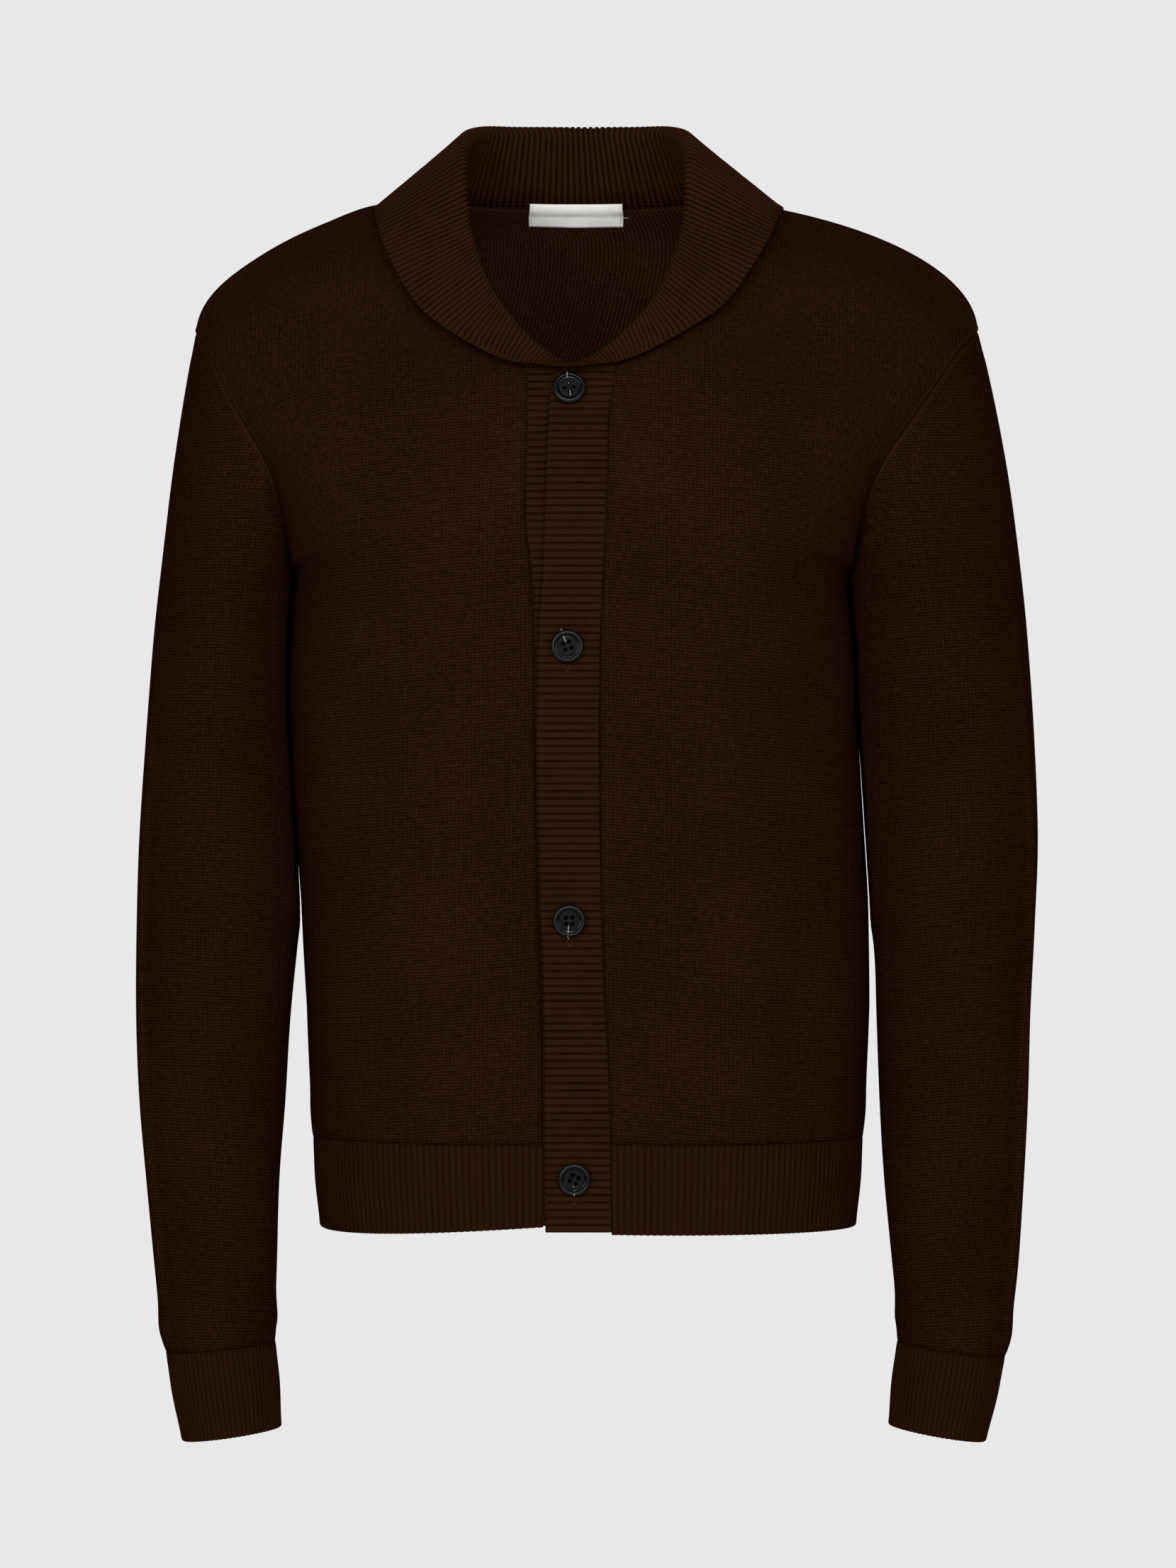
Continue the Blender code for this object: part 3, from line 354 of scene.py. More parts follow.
# each rib's lightness is painted light and shade on the one rib yarn: darker on the hem and cuffs and
# a little on the bands, lighter on the collar
HEM_CUFF_RIB_PAINTED_SHADE = rib_finish("rib_knit", HEM_CUFF_PAINTED_SHADE, 0.62, 0.34, 0.08)
COLLAR_RIB_PAINTED_LIGHT = rib_finish("collar_rib_knit", COLLAR_PAINTED_LIGHT, 0.56, 0.56, 0.16)
BAND_RIB = rib_finish("band_rib_knit", 0.97, 0.52, 0.50, 0.36)
print(HEM_CUFF_RIB_PAINTED_SHADE.name, COLLAR_RIB_PAINTED_LIGHT.name, BAND_RIB.name)

# %% [markdown]
# ## The cut of the cardigan
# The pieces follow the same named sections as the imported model: each row of a table is one level
# of the garment, and a smooth curve runs through the rows. Here they are read far more finely,
# and a few small corrections, such as where the sleeves end, are named beside them.

# %% Reading a table of sections
class Table:
    def __init__(self, names, *rows):
        self.names = names.split()
        self.rows = np.array(rows, float)
        self.last = len(rows) - 1

    def at(self, index):
        """The columns at a fractional row number, on a smooth curve through the rows."""
        index = min(max(index, 0.0), float(self.last))
        i = min(int(index), self.last - 1)
        t = index - i
        here, after = self.rows[i], self.rows[i + 1]
        before = self.rows[i - 1] if i > 0 else 2 * here - after
        beyond = self.rows[i + 2] if i + 2 <= self.last else 2 * after - here
        bend = 2 * before - 5 * here + 4 * after - beyond
        twist = 3 * here - before - 3 * after + beyond
        values = here + 0.5 * (t * (after - before) + t * t * bend + t**3 * twist)
        return SimpleNamespace(**dict(zip(self.names, values)))

    def level(self, height):
        """The columns at a height, straight between the rows; z falls from row to row."""
        values = [float(np.interp(-height, -self.column("z"), c)) for c in self.rows.T]
        return SimpleNamespace(**dict(zip(self.names, values)))

    def column(self, name):
        return self.rows[:, self.names.index(name)]


def point(x, y, z):
    return np.array([x, y, z], float)


def unit(vectors):
    return vectors / np.maximum(np.linalg.norm(vectors, axis=-1, keepdims=True), 1e-12)


def facing(ways, towards):
    """The ways, turned about where they don't point as they should."""
    return ways if (ways * towards).sum() > 0 else -ways


def run_along(line):
    """How far each point of a line is from its start."""
    return np.concatenate([[0.0], np.cumsum(np.linalg.norm(np.diff(line, axis=0), axis=1))])


def at_run(places, run, line):
    """The points of a line that lie this far along it."""
    return np.stack([np.interp(places, run, line[:, k]) for k in range(3)], axis=-1)


print("tables ready")

# %% Sections of the body
LEFT, RIGHT = 1, -1
LEAN = Table(
    "z middle side",
    (0.000, -0.0075, 0.0000),
    (-0.080, -0.0078, -0.0005),
    (-0.126, -0.0105, -0.0060),
    (-0.160, -0.0100, -0.0080),
    (-0.250, -0.0095, -0.0108),
    (-0.316, -0.0080, -0.0095),
    (-0.435, -0.0030, -0.0020),
    (-0.500, 0.0000, 0.0000),
)
FRONT = Table(
    "in_left in_right in_y in_z corner_x corner_y corner_z out_x out_y out_z",
    (0.0142, -0.0270, -0.1135, -0.6350, 0.1665, -0.1135, -0.6350, 0.1665, 0.000, -0.6350),
    (0.0136, -0.0270, -0.1170, -0.5807, 0.1707, -0.1170, -0.5807, 0.1707, 0.000, -0.5807),
    (0.0122, -0.0272, -0.1195, -0.5300, 0.1735, -0.1195, -0.5300, 0.1735, 0.000, -0.5300),
    (0.0093, -0.0280, -0.1220, -0.4800, 0.1752, -0.1220, -0.4800, 0.1752, 0.000, -0.4800),
    (0.0078, -0.0300, -0.1245, -0.4300, 0.1760, -0.1245, -0.4300, 0.1760, 0.000, -0.4300),
    (0.0069, -0.0312, -0.1270, -0.3800, 0.1760, -0.1270, -0.3800, 0.1760, 0.000, -0.3800),
    (0.0066, -0.0318, -0.1295, -0.3300, 0.1757, -0.1295, -0.3300, 0.1757, 0.000, -0.3300),
    (0.0070, -0.0318, -0.1325, -0.2830, 0.1755, -0.1325, -0.2830, 0.1752, 0.000, -0.2830),
    (0.0090, -0.0335, -0.1340, -0.2380, 0.1740, -0.1340, -0.2380, 0.1720, 0.000, -0.2380),
    (0.0106, -0.0374, -0.1335, -0.2060, 0.1800, -0.1310, -0.2120, 0.1722, -0.030, -0.2310),
    (0.0118, -0.0377, -0.1310, -0.1740, 0.1850, -0.1240, -0.1820, 0.1750, -0.051, -0.2080),
    (0.0121, -0.0362, -0.1245, -0.1430, 0.1900, -0.1160, -0.1540, 0.1805, -0.064, -0.1840),
    (0.0170, -0.0390, -0.1140, -0.1095, 0.1960, -0.1060, -0.1270, 0.1890, -0.069, -0.1640),
    (0.0455, -0.0635, -0.1020, -0.0940, 0.2040, -0.0920, -0.1030, 0.2010, -0.067, -0.1450),
    (0.0680, -0.0830, -0.0790, -0.0680, 0.2140, -0.0700, -0.0760, 0.2145, -0.057, -0.1240),
    (0.0790, -0.0940, -0.0450, -0.0310, 0.2285, -0.0410, -0.0410, 0.2295, -0.036, -0.0975),
    (0.0805, -0.0955, 0.0000, 0.0000, 0.2400, -0.0010, -0.0200, 0.2425, -0.003, -0.0820),
)
BACK = Table(
    "in_y in_z corner_x corner_y corner_z out_x out_y out_z",
    (0.1045, -0.6350, 0.1665, 0.1045, -0.6350, 0.1665, 0.000, -0.6350),
    (0.1080, -0.5807, 0.1707, 0.1080, -0.5807, 0.1707, 0.000, -0.5807),
    (0.1070, -0.5300, 0.1735, 0.1070, -0.5300, 0.1735, 0.000, -0.5300),
    (0.1060, -0.4800, 0.1752, 0.1060, -0.4800, 0.1752, 0.000, -0.4800),
    (0.1055, -0.4300, 0.1760, 0.1055, -0.4300, 0.1760, 0.000, -0.4300),
    (0.1060, -0.3800, 0.1760, 0.1060, -0.3800, 0.1760, 0.000, -0.3800),
    (0.1080, -0.3300, 0.1757, 0.1080, -0.3300, 0.1757, 0.000, -0.3300),
    (0.1105, -0.2830, 0.1755, 0.1105, -0.2830, 0.1752, 0.000, -0.2830),
    (0.1120, -0.2380, 0.1740, 0.1120, -0.2380, 0.1720, 0.000, -0.2380),
    (0.1125, -0.2040, 0.1800, 0.1100, -0.2080, 0.1725, 0.030, -0.2295),
    (0.1115, -0.1700, 0.1860, 0.1060, -0.1760, 0.1760, 0.051, -0.2060),
    (0.1090, -0.1370, 0.1920, 0.1000, -0.1460, 0.1835, 0.062, -0.1800),
    (0.1050, -0.1060, 0.1990, 0.0920, -0.1180, 0.1935, 0.065, -0.1570),
    (0.0990, -0.0770, 0.2070, 0.0800, -0.0920, 0.2055, 0.060, -0.1350),
    (0.0905, -0.0500, 0.2170, 0.0620, -0.0680, 0.2180, 0.047, -0.1140),
    (0.0790, -0.0225, 0.2305, 0.0380, -0.0370, 0.2312, 0.027, -0.0920),
    (0.0660, 0.0000, 0.2400, -0.0010, -0.0200, 0.2425, -0.003, -0.0820),
)
HEM_BOTTOM_ROW, HEM_SEAM_ROW, ARMPIT_ROW, NECKLINE_ROW, TOP_ROW = 0, 1, 8, 12, 16
print("body sections:", len(FRONT.rows))

# %% Sections of the sleeves
SLEEVE_LEFT = Table(
    "outer_x outer_z inner_x inner_z middle_y depth",
    (0.2425, -0.0820, 0.1610, -0.2380, 0.000, 0.068),
    (0.2480, -0.1080, 0.1600, -0.2450, -0.002, 0.069),
    (0.2545, -0.1420, 0.1600, -0.2560, -0.004, 0.067),
    (0.2610, -0.1800, 0.1605, -0.2730, -0.006, 0.065),
    (0.2672, -0.2250, 0.1615, -0.3000, -0.007, 0.062),
    (0.2725, -0.2720, 0.1630, -0.3330, -0.009, 0.059),
    (0.2768, -0.3300, 0.1660, -0.3770, -0.011, 0.056),
    (0.2790, -0.3950, 0.1705, -0.4250, -0.013, 0.054),
    (0.2765, -0.4500, 0.1768, -0.4650, -0.015, 0.052),
    (0.2730, -0.5056, 0.1785, -0.5100, -0.018, 0.050),
    (0.2710, -0.5584, 0.1802, -0.5584, -0.021, 0.048),
    (0.2681, -0.6110, 0.1826, -0.6080, -0.025, 0.045),
    (0.2645, -0.6640, 0.1867, -0.6590, -0.029, 0.041),
    (0.2600, -0.7010, 0.1895, -0.6920, -0.032, 0.038),
    (0.2568, -0.7200, 0.1900, -0.7105, -0.034, 0.036),
    (0.2450, -0.7700, 0.1846, -0.7600, -0.038, 0.033),
)
SLEEVE_RIGHT = Table(
    "outer_x outer_z inner_x inner_z middle_y depth",
    (0.2425, -0.0820, 0.1825, -0.2380, 0.000, 0.068),
    (0.2470, -0.1080, 0.1815, -0.2450, 0.000, 0.070),
    (0.2525, -0.1420, 0.1805, -0.2560, 0.000, 0.069),
    (0.2582, -0.1800, 0.1800, -0.2730, 0.000, 0.067),
    (0.2640, -0.2250, 0.1800, -0.3000, -0.001, 0.065),
    (0.2697, -0.2720, 0.1790, -0.3330, -0.003, 0.062),
    (0.2745, -0.3300, 0.1768, -0.3770, -0.006, 0.058),
    (0.2785, -0.3950, 0.1758, -0.4250, -0.009, 0.055),
    (0.2795, -0.4500, 0.1800, -0.4650, -0.012, 0.052),
    (0.2790, -0.5056, 0.1846, -0.5100, -0.016, 0.050),
    (0.2764, -0.5584, 0.1872, -0.5584, -0.020, 0.048),
    (0.2716, -0.6110, 0.1904, -0.6080, -0.024, 0.045),
    (0.2665, -0.6640, 0.1912, -0.6590, -0.028, 0.041),
    (0.2629, -0.6980, 0.1920, -0.6920, -0.031, 0.038),
    (0.2600, -0.7150, 0.1922, -0.7085, -0.033, 0.036),
    (0.2500, -0.7680, 0.1884, -0.7595, -0.037, 0.033),
)
SLEEVES = {LEFT: SLEEVE_LEFT, RIGHT: SLEEVE_RIGHT}
CUFF_SEAM_RING, CUFF_EDGE_RING = 14, 15
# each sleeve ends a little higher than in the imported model, taken up evenly below the elbow
ELBOW_RING, CUFF_RISES = 7, {LEFT: 0.0046, RIGHT: 0.0028}
for side, sleeve in SLEEVES.items():
    below = (np.arange(len(sleeve.rows)) - ELBOW_RING) / (CUFF_SEAM_RING - ELBOW_RING)
    sleeve.rows[:, [1, 3]] += CUFF_RISES[side] * np.clip(below, 0, 1)[:, None]
print("sleeve sections:", len(SLEEVE_LEFT.rows))

# %% [markdown]
# ## A wall of cloth
# Every piece is a thin closed wall between an outer and an inner sheet of points. `wall` takes the
# two sheets as stations by profile points, and joins them round the profile, so that the free
# edge can be rounded as a knitted edge is. It also stores what the later steps need: the cloth's
# own u and v, and for a rib its place among the ribs and the way out of the wall.

# %% The wall maker
JERSEY, RIB_WALL, RIB_DEPTH = 0.0025, 0.0030, 0.0011
ROUND = 4


def rim(outer, inner, before):
    """The rounded edge between the last outer and inner points, and the ways out of it."""
    middle, half = (outer + inner) / 2, (outer - inner) / 2
    ahead = unit(outer - before) * np.linalg.norm(half, axis=-1, keepdims=True)
    angles = [math.pi * k / (ROUND + 1) for k in range(1, ROUND + 1)]
    ways = [math.cos(a) * half + math.sin(a) * ahead for a in angles]
    return [middle + w for w in ways], [unit(w) for w in ways]


def store(mesh, name, kind, values):
    """Keeps a number or a direction for each point of the mesh."""
    layer = mesh.attributes.new(name, kind, "POINT")
    key = "vector" if kind == "FLOAT_VECTOR" else "value"
    layer.data.foreach_set(key, values.astype(np.float32).ravel())


def wall(name, outer, inner, uv, closed=False, rounded=True, rib=None, share=None, selvedge_highlight=None):
    """A closed wall: stations run along the piece, and the profile runs across it."""
    stations, across = outer.shape[:2]
    normal = unit(outer - inner)
    edge, ways = rim(outer[:, -1], inner[:, -1], outer[:, -2]) if rounded else ([], [])
    points = np.concatenate([outer, *[e[:, None] for e in edge], inner[:, ::-1]], axis=1)
    out = np.concatenate([normal, *[w[:, None] for w in ways], -normal[:, ::-1]], axis=1)
    loop = points.shape[1]
    numbers = np.arange(stations * loop).reshape(stations, loop)
    last = stations if closed else stations - 1
    s, c = np.meshgrid(np.arange(last), np.arange(loop), indexing="ij")
    s, c = s.ravel(), c.ravel()
    t, d = (s + 1) % stations, (c + 1) % loop
    quads = np.stack([numbers[s, c], numbers[t, c], numbers[t, d], numbers[s, d]], axis=1)
    spread = [uv] + [uv[:, -1:]] * len(edge) + [uv[:, ::-1]]
    spread = np.concatenate(spread + [uv[:, :1]], axis=1)
    near_pair, far_pair = [spread[s, c], spread[s + 1, c]], [spread[s + 1, c + 1], spread[s, c + 1]]
    corners = np.stack(near_pair + far_pair, axis=1)
    inside = (c >= across + len(edge)).astype(int)
    faces, all_uv, slots = quads.tolist(), corners.reshape(-1, 2).tolist(), inside.tolist()
    if not closed:
        for end in (0, stations - 1):
            row = numbers[end].tolist()
            for k in range(across - 1):
                faces.append([row[k], row[k + 1], row[loop - 2 - k], row[loop - 1 - k]])
                all_uv += [uv[end, k].tolist(), uv[end, k + 1].tolist()] * 2
                slots.append(0)
            if edge:
                faces.append(row[across - 1 : across + len(edge) + 1])
                all_uv += [uv[end, -1].tolist()] * (len(edge) + 2)
                slots.append(0)
    mesh = bpy.data.meshes.new(name)
    mesh.from_pydata(points.reshape(-1, 3).tolist(), [], faces)
    layer = mesh.uv_layers.new(name="cloth")
    layer.data.foreach_set("uv", np.array(all_uv, np.float32).ravel())
    mesh.polygons.foreach_set("material_index", slots)
    if selvedge_highlight is not None:
        store(mesh, "selvedge_highlight", "FLOAT", np.concatenate([selvedge_highlight, selvedge_highlight[:, ::-1]], axis=1))
    if rib is not None:
        place = np.repeat(rib[:, None], loop, axis=1)
        place[:, across + len(edge) :] += 0.5
        fade = np.concatenate([share] + [share[:, -1:]] * len(edge) + [share[:, ::-1]], axis=1)
        store(mesh, "rib", "FLOAT", place)
        store(mesh, "rib_share", "FLOAT", fade)
        store(mesh, "out", "FLOAT_VECTOR", out)
    return made_object(name, mesh)


def made_object(name, mesh):
    """Links the mesh as an object, after its faces are turned to point out."""
    shape = bmesh.new()
    shape.from_mesh(mesh)
    bmesh.ops.recalc_face_normals(shape, faces=shape.faces)
    if shape.calc_volume(signed=True) < 0:
        bmesh.ops.reverse_faces(shape, faces=shape.faces)
    shape.to_mesh(mesh)
    shape.free()
    mesh.shade_smooth()
    return linked(name, mesh)


def finished_mesh(thing):
    """A new mesh of the thing, with its modifiers or its bevel worked out."""
    ready = thing.evaluated_get(bpy.context.evaluated_depsgraph_get())
    return bpy.data.meshes.new_from_object(ready)


def sheet_size(outer):
    """A piece's flat size, across and along, and its area, from its outer points."""
    step_s = np.linalg.norm(np.diff(outer, axis=0), axis=2)
    step_p = np.linalg.norm(np.diff(outer, axis=1), axis=2)
    a, b = outer[1:, :-1] - outer[:-1, :-1], outer[:-1, 1:] - outer[:-1, :-1]
    c, d = outer[1:, :-1] - outer[1:, 1:], outer[:-1, 1:] - outer[1:, 1:]
    halves = [np.linalg.norm(np.cross(*pair), axis=2).sum() for pair in ((a, b), (c, d))]
    area = (halves[0] + halves[1]) / 2
    return float(step_p.sum(axis=1).max()), float(step_s.sum(axis=0).max()), float(area)


def settle(piece, node, size):
    """The piece takes its node's place and rides with it."""
    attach(piece, "root")
    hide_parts(node)


# %% [markdown]
# ## Ribs
# A rib's ridges stand between narrow grooves. A small geometry tree sinks the grooves: it reads
# each point's place among the ribs and moves it into the wall there. The same tree serves the
# hem, the cuffs, the bands and the collar, with its own depth and groove width for each.

# %% The rib tree
def new_tree(name, sizes):
    tree = bpy.data.node_groups.new(name, "GeometryNodeTree")
    numbers = [(size, "Float") for size in sizes]
    for label, kind in (("Geometry", "Geometry"), *numbers, ("Material", "Material")):
        tree.interface.new_socket(name=label, in_out="INPUT", socket_type="NodeSocket" + kind)
    tree.interface.new_socket(name="Geometry", in_out="OUTPUT", socket_type="NodeSocketGeometry")
    net = Net(tree)
    start = tree.nodes.new("NodeGroupInput")
    given = {socket.name: Wire(net, socket) for socket in start.outputs if socket.name}
    return tree, net, given


def close_tree(tree, net, geometry, given):
    real = net.add("GeometryNodeRealizeInstances", values=[geometry])
    values = {"Geometry": real, "Material": given["Material"]}
    painted = net.add("GeometryNodeSetMaterial", values=values)
    end = tree.nodes.new("NodeGroupOutput")
    tree.links.new(painted.socket, end.inputs[0])
    return tree


def rib_tree():
    tree, net, given = new_tree("sink_grooves", ["Depth", "Groove Width", "Middle Line"])

    def read(name, kind):
        return net.add("GeometryNodeInputNamedAttribute", {"data_type": kind}, [name])

    def hollow(distance):
        return (0 - distance * distance).math("EXPONENT")

    phase = read("rib", "FLOAT").math("FRACT")
    side = phase.math("MINIMUM", 1 - phase) / given["Groove Width"]
    middle = (phase - 0.5) / (given["Groove Width"] * 0.7)
    groove = hollow(side) + hollow(middle) * given["Middle Line"]
    sink = groove * read("rib_share", "FLOAT") * given["Depth"] * -1.0
    scaled = {0: read("out", "FLOAT_VECTOR"), "Scale": sink}
    offset = net.add("ShaderNodeVectorMath", {"operation": "SCALE"}, scaled)
    values = {"Geometry": given["Geometry"], "Offset": offset}
    return close_tree(tree, net, net.add("GeometryNodeSetPosition", values=values), given)


def grow(piece, tree, **inputs):
    """Runs a geometry tree on the piece and keeps its result as a plain mesh."""
    added = piece.modifiers.new("tree", "NODES")
    added.node_group = tree
    for socket in tree.interface.items_tree:
        key = socket.name.replace(" ", "_")
        if socket.in_out == "INPUT" and key in inputs:
            added[socket.identifier] = inputs[key]
    mesh = finished_mesh(piece)
    piece.modifiers.clear()
    old, piece.data = piece.data, mesh
    bpy.data.meshes.remove(old)
    mesh.name = piece.name
    for attribute in ("rib", "rib_share", "out"):
        if attribute in mesh.attributes:
            mesh.attributes.remove(mesh.attributes[attribute])
    mesh.shade_smooth()
    return piece


RIBS = rib_tree()
print("tree:", RIBS.name, "with", len(RIBS.nodes), "nodes")

# %% [markdown]
# ## Body panels
# The back and the fronts are one tube with shoulders. Each row runs from the middle round a
# soft corner to the side seam or the armhole. Cloth that no one wears still keeps soft folds: drag
# lines that fan out from the underarm, a slight blouse above the hem's rib, and slow waves.

# %% Rows of the body
ROW_FULLNESS = 0.60
LEAN_FROM, LEAN_TO = 0.10, 0.20
NECK_HALF_WIDTH, NECK_LEAN, BACK_NECK_Y, NECK_SHARE = 0.0880, -0.0075, 0.0660, 4 / 13
UNDER_LAYER = 0.0035


def lean(x, z):
    row = LEAN.level(z)
    share = min(max((abs(x) - LEAN_FROM) / (LEAN_TO - LEAN_FROM), 0.0), 1.0)
    share = share * share * (3 - 2 * share)
    return x + row.middle + (row.side - row.middle) * share


def arc(start, corner, end, fractions):
    t = np.asarray(fractions)[:, None]
    first = start + ROW_FULLNESS * (corner - start)
    second = end + ROW_FULLNESS * (corner - end)
    s = 1 - t
    return s**3 * start + 3 * s * s * t * first + 3 * s * t * t * second + t**3 * end


def outer_end(side, row):
    corner = point(lean(side * row.corner_x, row.corner_z), row.corner_y, row.corner_z)
    return corner, point(lean(side * row.out_x, row.out_z), row.out_y, row.out_z)


def front_row(side, index, fractions):
    row = FRONT.at(index)
    under = 0.0 if side == LEFT else UNDER_LAYER * min(max((-0.045 - row.in_z) / 0.050, 0.0), 1.0)
    start = point(row.in_left if side == LEFT else row.in_right, row.in_y + under, row.in_z)
    return arc(start, *outer_end(side, row), fractions)


def half_back(side, index, fractions):
    row = BACK.at(index)
    return arc(point(lean(0.0, row.in_z), row.in_y, row.in_z), *outer_end(side, row), fractions)


def back_top(side, fractions):
    """The back's top edge on one side: the neckline's quarter oval, then the shoulder seam."""
    turns = np.minimum(fractions / NECK_SHARE, 1.0) * math.pi / 2
    x = NECK_LEAN + side * NECK_HALF_WIDTH * np.sin(turns)
    neck = np.stack([x, BACK_NECK_Y * np.cos(turns), 0 * turns], axis=1)
    along = np.maximum(fractions - NECK_SHARE, 0.0) / (1 - NECK_SHARE)
    return np.where((fractions > NECK_SHARE)[:, None], front_row(side, TOP_ROW, along), neck)


def back_row(index, fractions):
    share = max(0.0, (index - ARMPIT_ROW) / (TOP_ROW - ARMPIT_ROW)) ** 3
    halves = []
    for side in (RIGHT, LEFT):
        curve = half_back(side, index, fractions)
        if share > 0:
            top, own_top = back_top(side, fractions), half_back(side, TOP_ROW, fractions)
            curve = curve + share * (top - own_top)
        halves.append(curve)
    return np.concatenate([halves[0][::-1], halves[1][1:]])


PER_ROW = 12
ROWS = np.linspace(HEM_SEAM_ROW, TOP_ROW, (TOP_ROW - HEM_SEAM_ROW) * PER_ROW + 1)
FRONT_FRACTIONS = np.linspace(0, 1, 64)
BACK_FRACTIONS = np.linspace(0, 1, 79)
# the wearer's right shoulder is a little fuller by the collar, and its outer end hangs a little
# lower: how much, at which x, and how far that reaches across and down from the top edge
SHOULDER_CHANGES = ((0.0030, -0.1355, 0.022, 0.04), (-0.0028, -0.215, 0.032, 0.05))
fronts = {
    side: np.array([front_row(side, i, FRONT_FRACTIONS) for i in ROWS]) for side in (LEFT, RIGHT)
}
back = np.array([back_row(i, BACK_FRACTIONS) for i in ROWS])
for grid in (*fronts.values(), back):
    from_top = np.linalg.norm(grid - grid[-1:], axis=2)
    grid[:, :, 2] += sum(
        height * np.exp(-(((grid[:, :, 0] - x) / across) ** 2) - (from_top / down) ** 2)
        for height, x, across, down in SHOULDER_CHANGES
    )
print("front points:", fronts[LEFT].shape, "back points:", back.shape)

# %% Folds and seams, as moves along the way out
SEAM_WIDTH, SELVEDGE_HIGHLIGHT = 0.0014, (0.0016, 0.0014)  # the selvedge's place from the edge, and width: there the knit is smoother, and a painted highlight lightens the seam's ridge
SETTLED = 0.012  # folds have their full height from this far off a seam
COURSE_ARCH = 0.075  # the courses sag this much towards the side seams


def ridge(x, z, start, end, width, height):
    """A soft ridge, or with a negative height a trough, that runs from start to end."""
    start, end = np.array(start, float), np.array(end, float)
    along = end - start
    length = np.linalg.norm(along)
    dx, dz = x - start[0], z - start[1]
    t = (dx * along[0] + dz * along[1]) / length**2
    far = (dx * along[1] - dz * along[0]) / length
    ends = np.clip(1 - ((t - 0.5) / 0.62) ** 2, 0, 1)
    return height * np.exp(-((far / width) ** 2)) * ends**1.5


# side of the body (1 the wearer's left), then start and end as x and z, width, height
BODY_FOLDS = (
    (LEFT, (0.158, -0.225), (0.085, -0.285), 0.014, -0.0016),
    (LEFT, (0.160, -0.245), (0.110, -0.360), 0.016, -0.0014),
    (LEFT, (0.150, -0.205), (0.095, -0.165), 0.016, -0.0010),
    (LEFT, (0.135, -0.400), (0.128, -0.565), 0.016, -0.0030),
    (LEFT, (0.095, -0.430), (0.100, -0.575), 0.020, 0.0016),
    (RIGHT, (-0.176, -0.225), (-0.105, -0.290), 0.014, -0.0016),
    (RIGHT, (-0.176, -0.245), (-0.128, -0.370), 0.016, -0.0014),
    (RIGHT, (-0.166, -0.205), (-0.112, -0.160), 0.016, -0.0010),
    (RIGHT, (-0.140, -0.420), (-0.132, -0.570), 0.015, -0.0026),
    (RIGHT, (-0.100, -0.450), (-0.105, -0.575), 0.020, 0.0014),
)
BACK_FOLDS = (
    ((0.150, -0.215), (0.070, -0.260), 0.014, -0.0028),
    ((0.152, -0.240), (0.090, -0.350), 0.014, -0.0022),
    ((-0.165, -0.215), (-0.085, -0.265), 0.014, -0.0028),
    ((-0.166, -0.240), (-0.105, -0.355), 0.014, -0.0022),
    ((0.060, -0.330), (0.045, -0.560), 0.026, 0.0022),
    ((-0.070, -0.360), (-0.062, -0.565), 0.024, -0.0020),
    ((0.110, -0.080), (0.040, -0.130), 0.020, -0.0014),
    ((-0.120, -0.080), (-0.050, -0.130), 0.020, -0.0014),
)


def slow_waves(x, z, phase):
    """Slow unevenness of a knit that hangs free."""
    return 0.0006 * (np.sin(31 * x + 17 * z + phase) + np.sin(23 * z - 19 * x + 2.1 * phase))


def near(distance, place, width):
    """1 at this place and 0 beyond the width from it, softly."""
    return np.exp(-(((distance - place) / width) ** 2))


def seam_dip(distance, depth):
    return -depth * near(distance, 0.0, SEAM_WIDTH)


def folds_of(side, table):
    return [fold for where, *fold in table if where == side]


def distances(grid, axis):
    """How far each point is along its line from the line's start, and from its end."""
    steps = np.linalg.norm(np.diff(grid, axis=axis), axis=2)
    zero = np.zeros_like(np.take(steps, [0], axis=axis))
    run = np.concatenate([zero, np.cumsum(steps, axis=axis)], axis=axis)
    return run, np.take(run, [-1], axis=axis) - run


def cloth_uv(grid):
    """u and v in metres: u follows the wales' spacing along a row, v their length up the panel."""
    du = np.linalg.norm(np.diff(grid[:, :, :2], axis=1), axis=2)
    dv = np.linalg.norm(np.diff(grid[:, :, 1:], axis=0), axis=2)
    u = np.concatenate([np.zeros((len(grid), 1)), np.cumsum(du, axis=1)], axis=1)
    v = np.concatenate([np.zeros((1, grid.shape[1])), np.cumsum(dv, axis=0)], axis=0)
    v += COURSE_ARCH * np.abs(grid[:, :, 0])
    return np.stack([u, v], axis=2)


print("folds:", len(BODY_FOLDS) + len(BACK_FOLDS))

# %% The fronts
BODY_AXIS = np.array([-0.005, 0.0, -0.35])
# the seam's ridge stands only round the armhole: below it the sleeve lies close to the side seam
AT_ARMHOLE = 0.0005 * np.clip((ROWS - ARMPIT_ROW) / 0.3, 0, 1)[:, None]


def panel_lift(grid, phase, folds, in_from, out_from):
    """The slow waves, the folds and the blouse above the hem, all of which fade out at seams."""
    x, z = grid[:, :, 0], grid[:, :, 2]
    lift = slow_waves(x, z, phase)
    for fold in folds:
        lift += ridge(x, z, *fold)
    up_from, down_from = distances(grid, 0)
    lift += 0.0010 * near(up_from, 0.016, 0.014) + seam_dip(up_from, 0.0004)
    from_side = np.clip(np.minimum(in_from, out_from) / SETTLED, 0, 1)
    return lift * (from_side * np.clip(down_from / SETTLED, 0, 1))


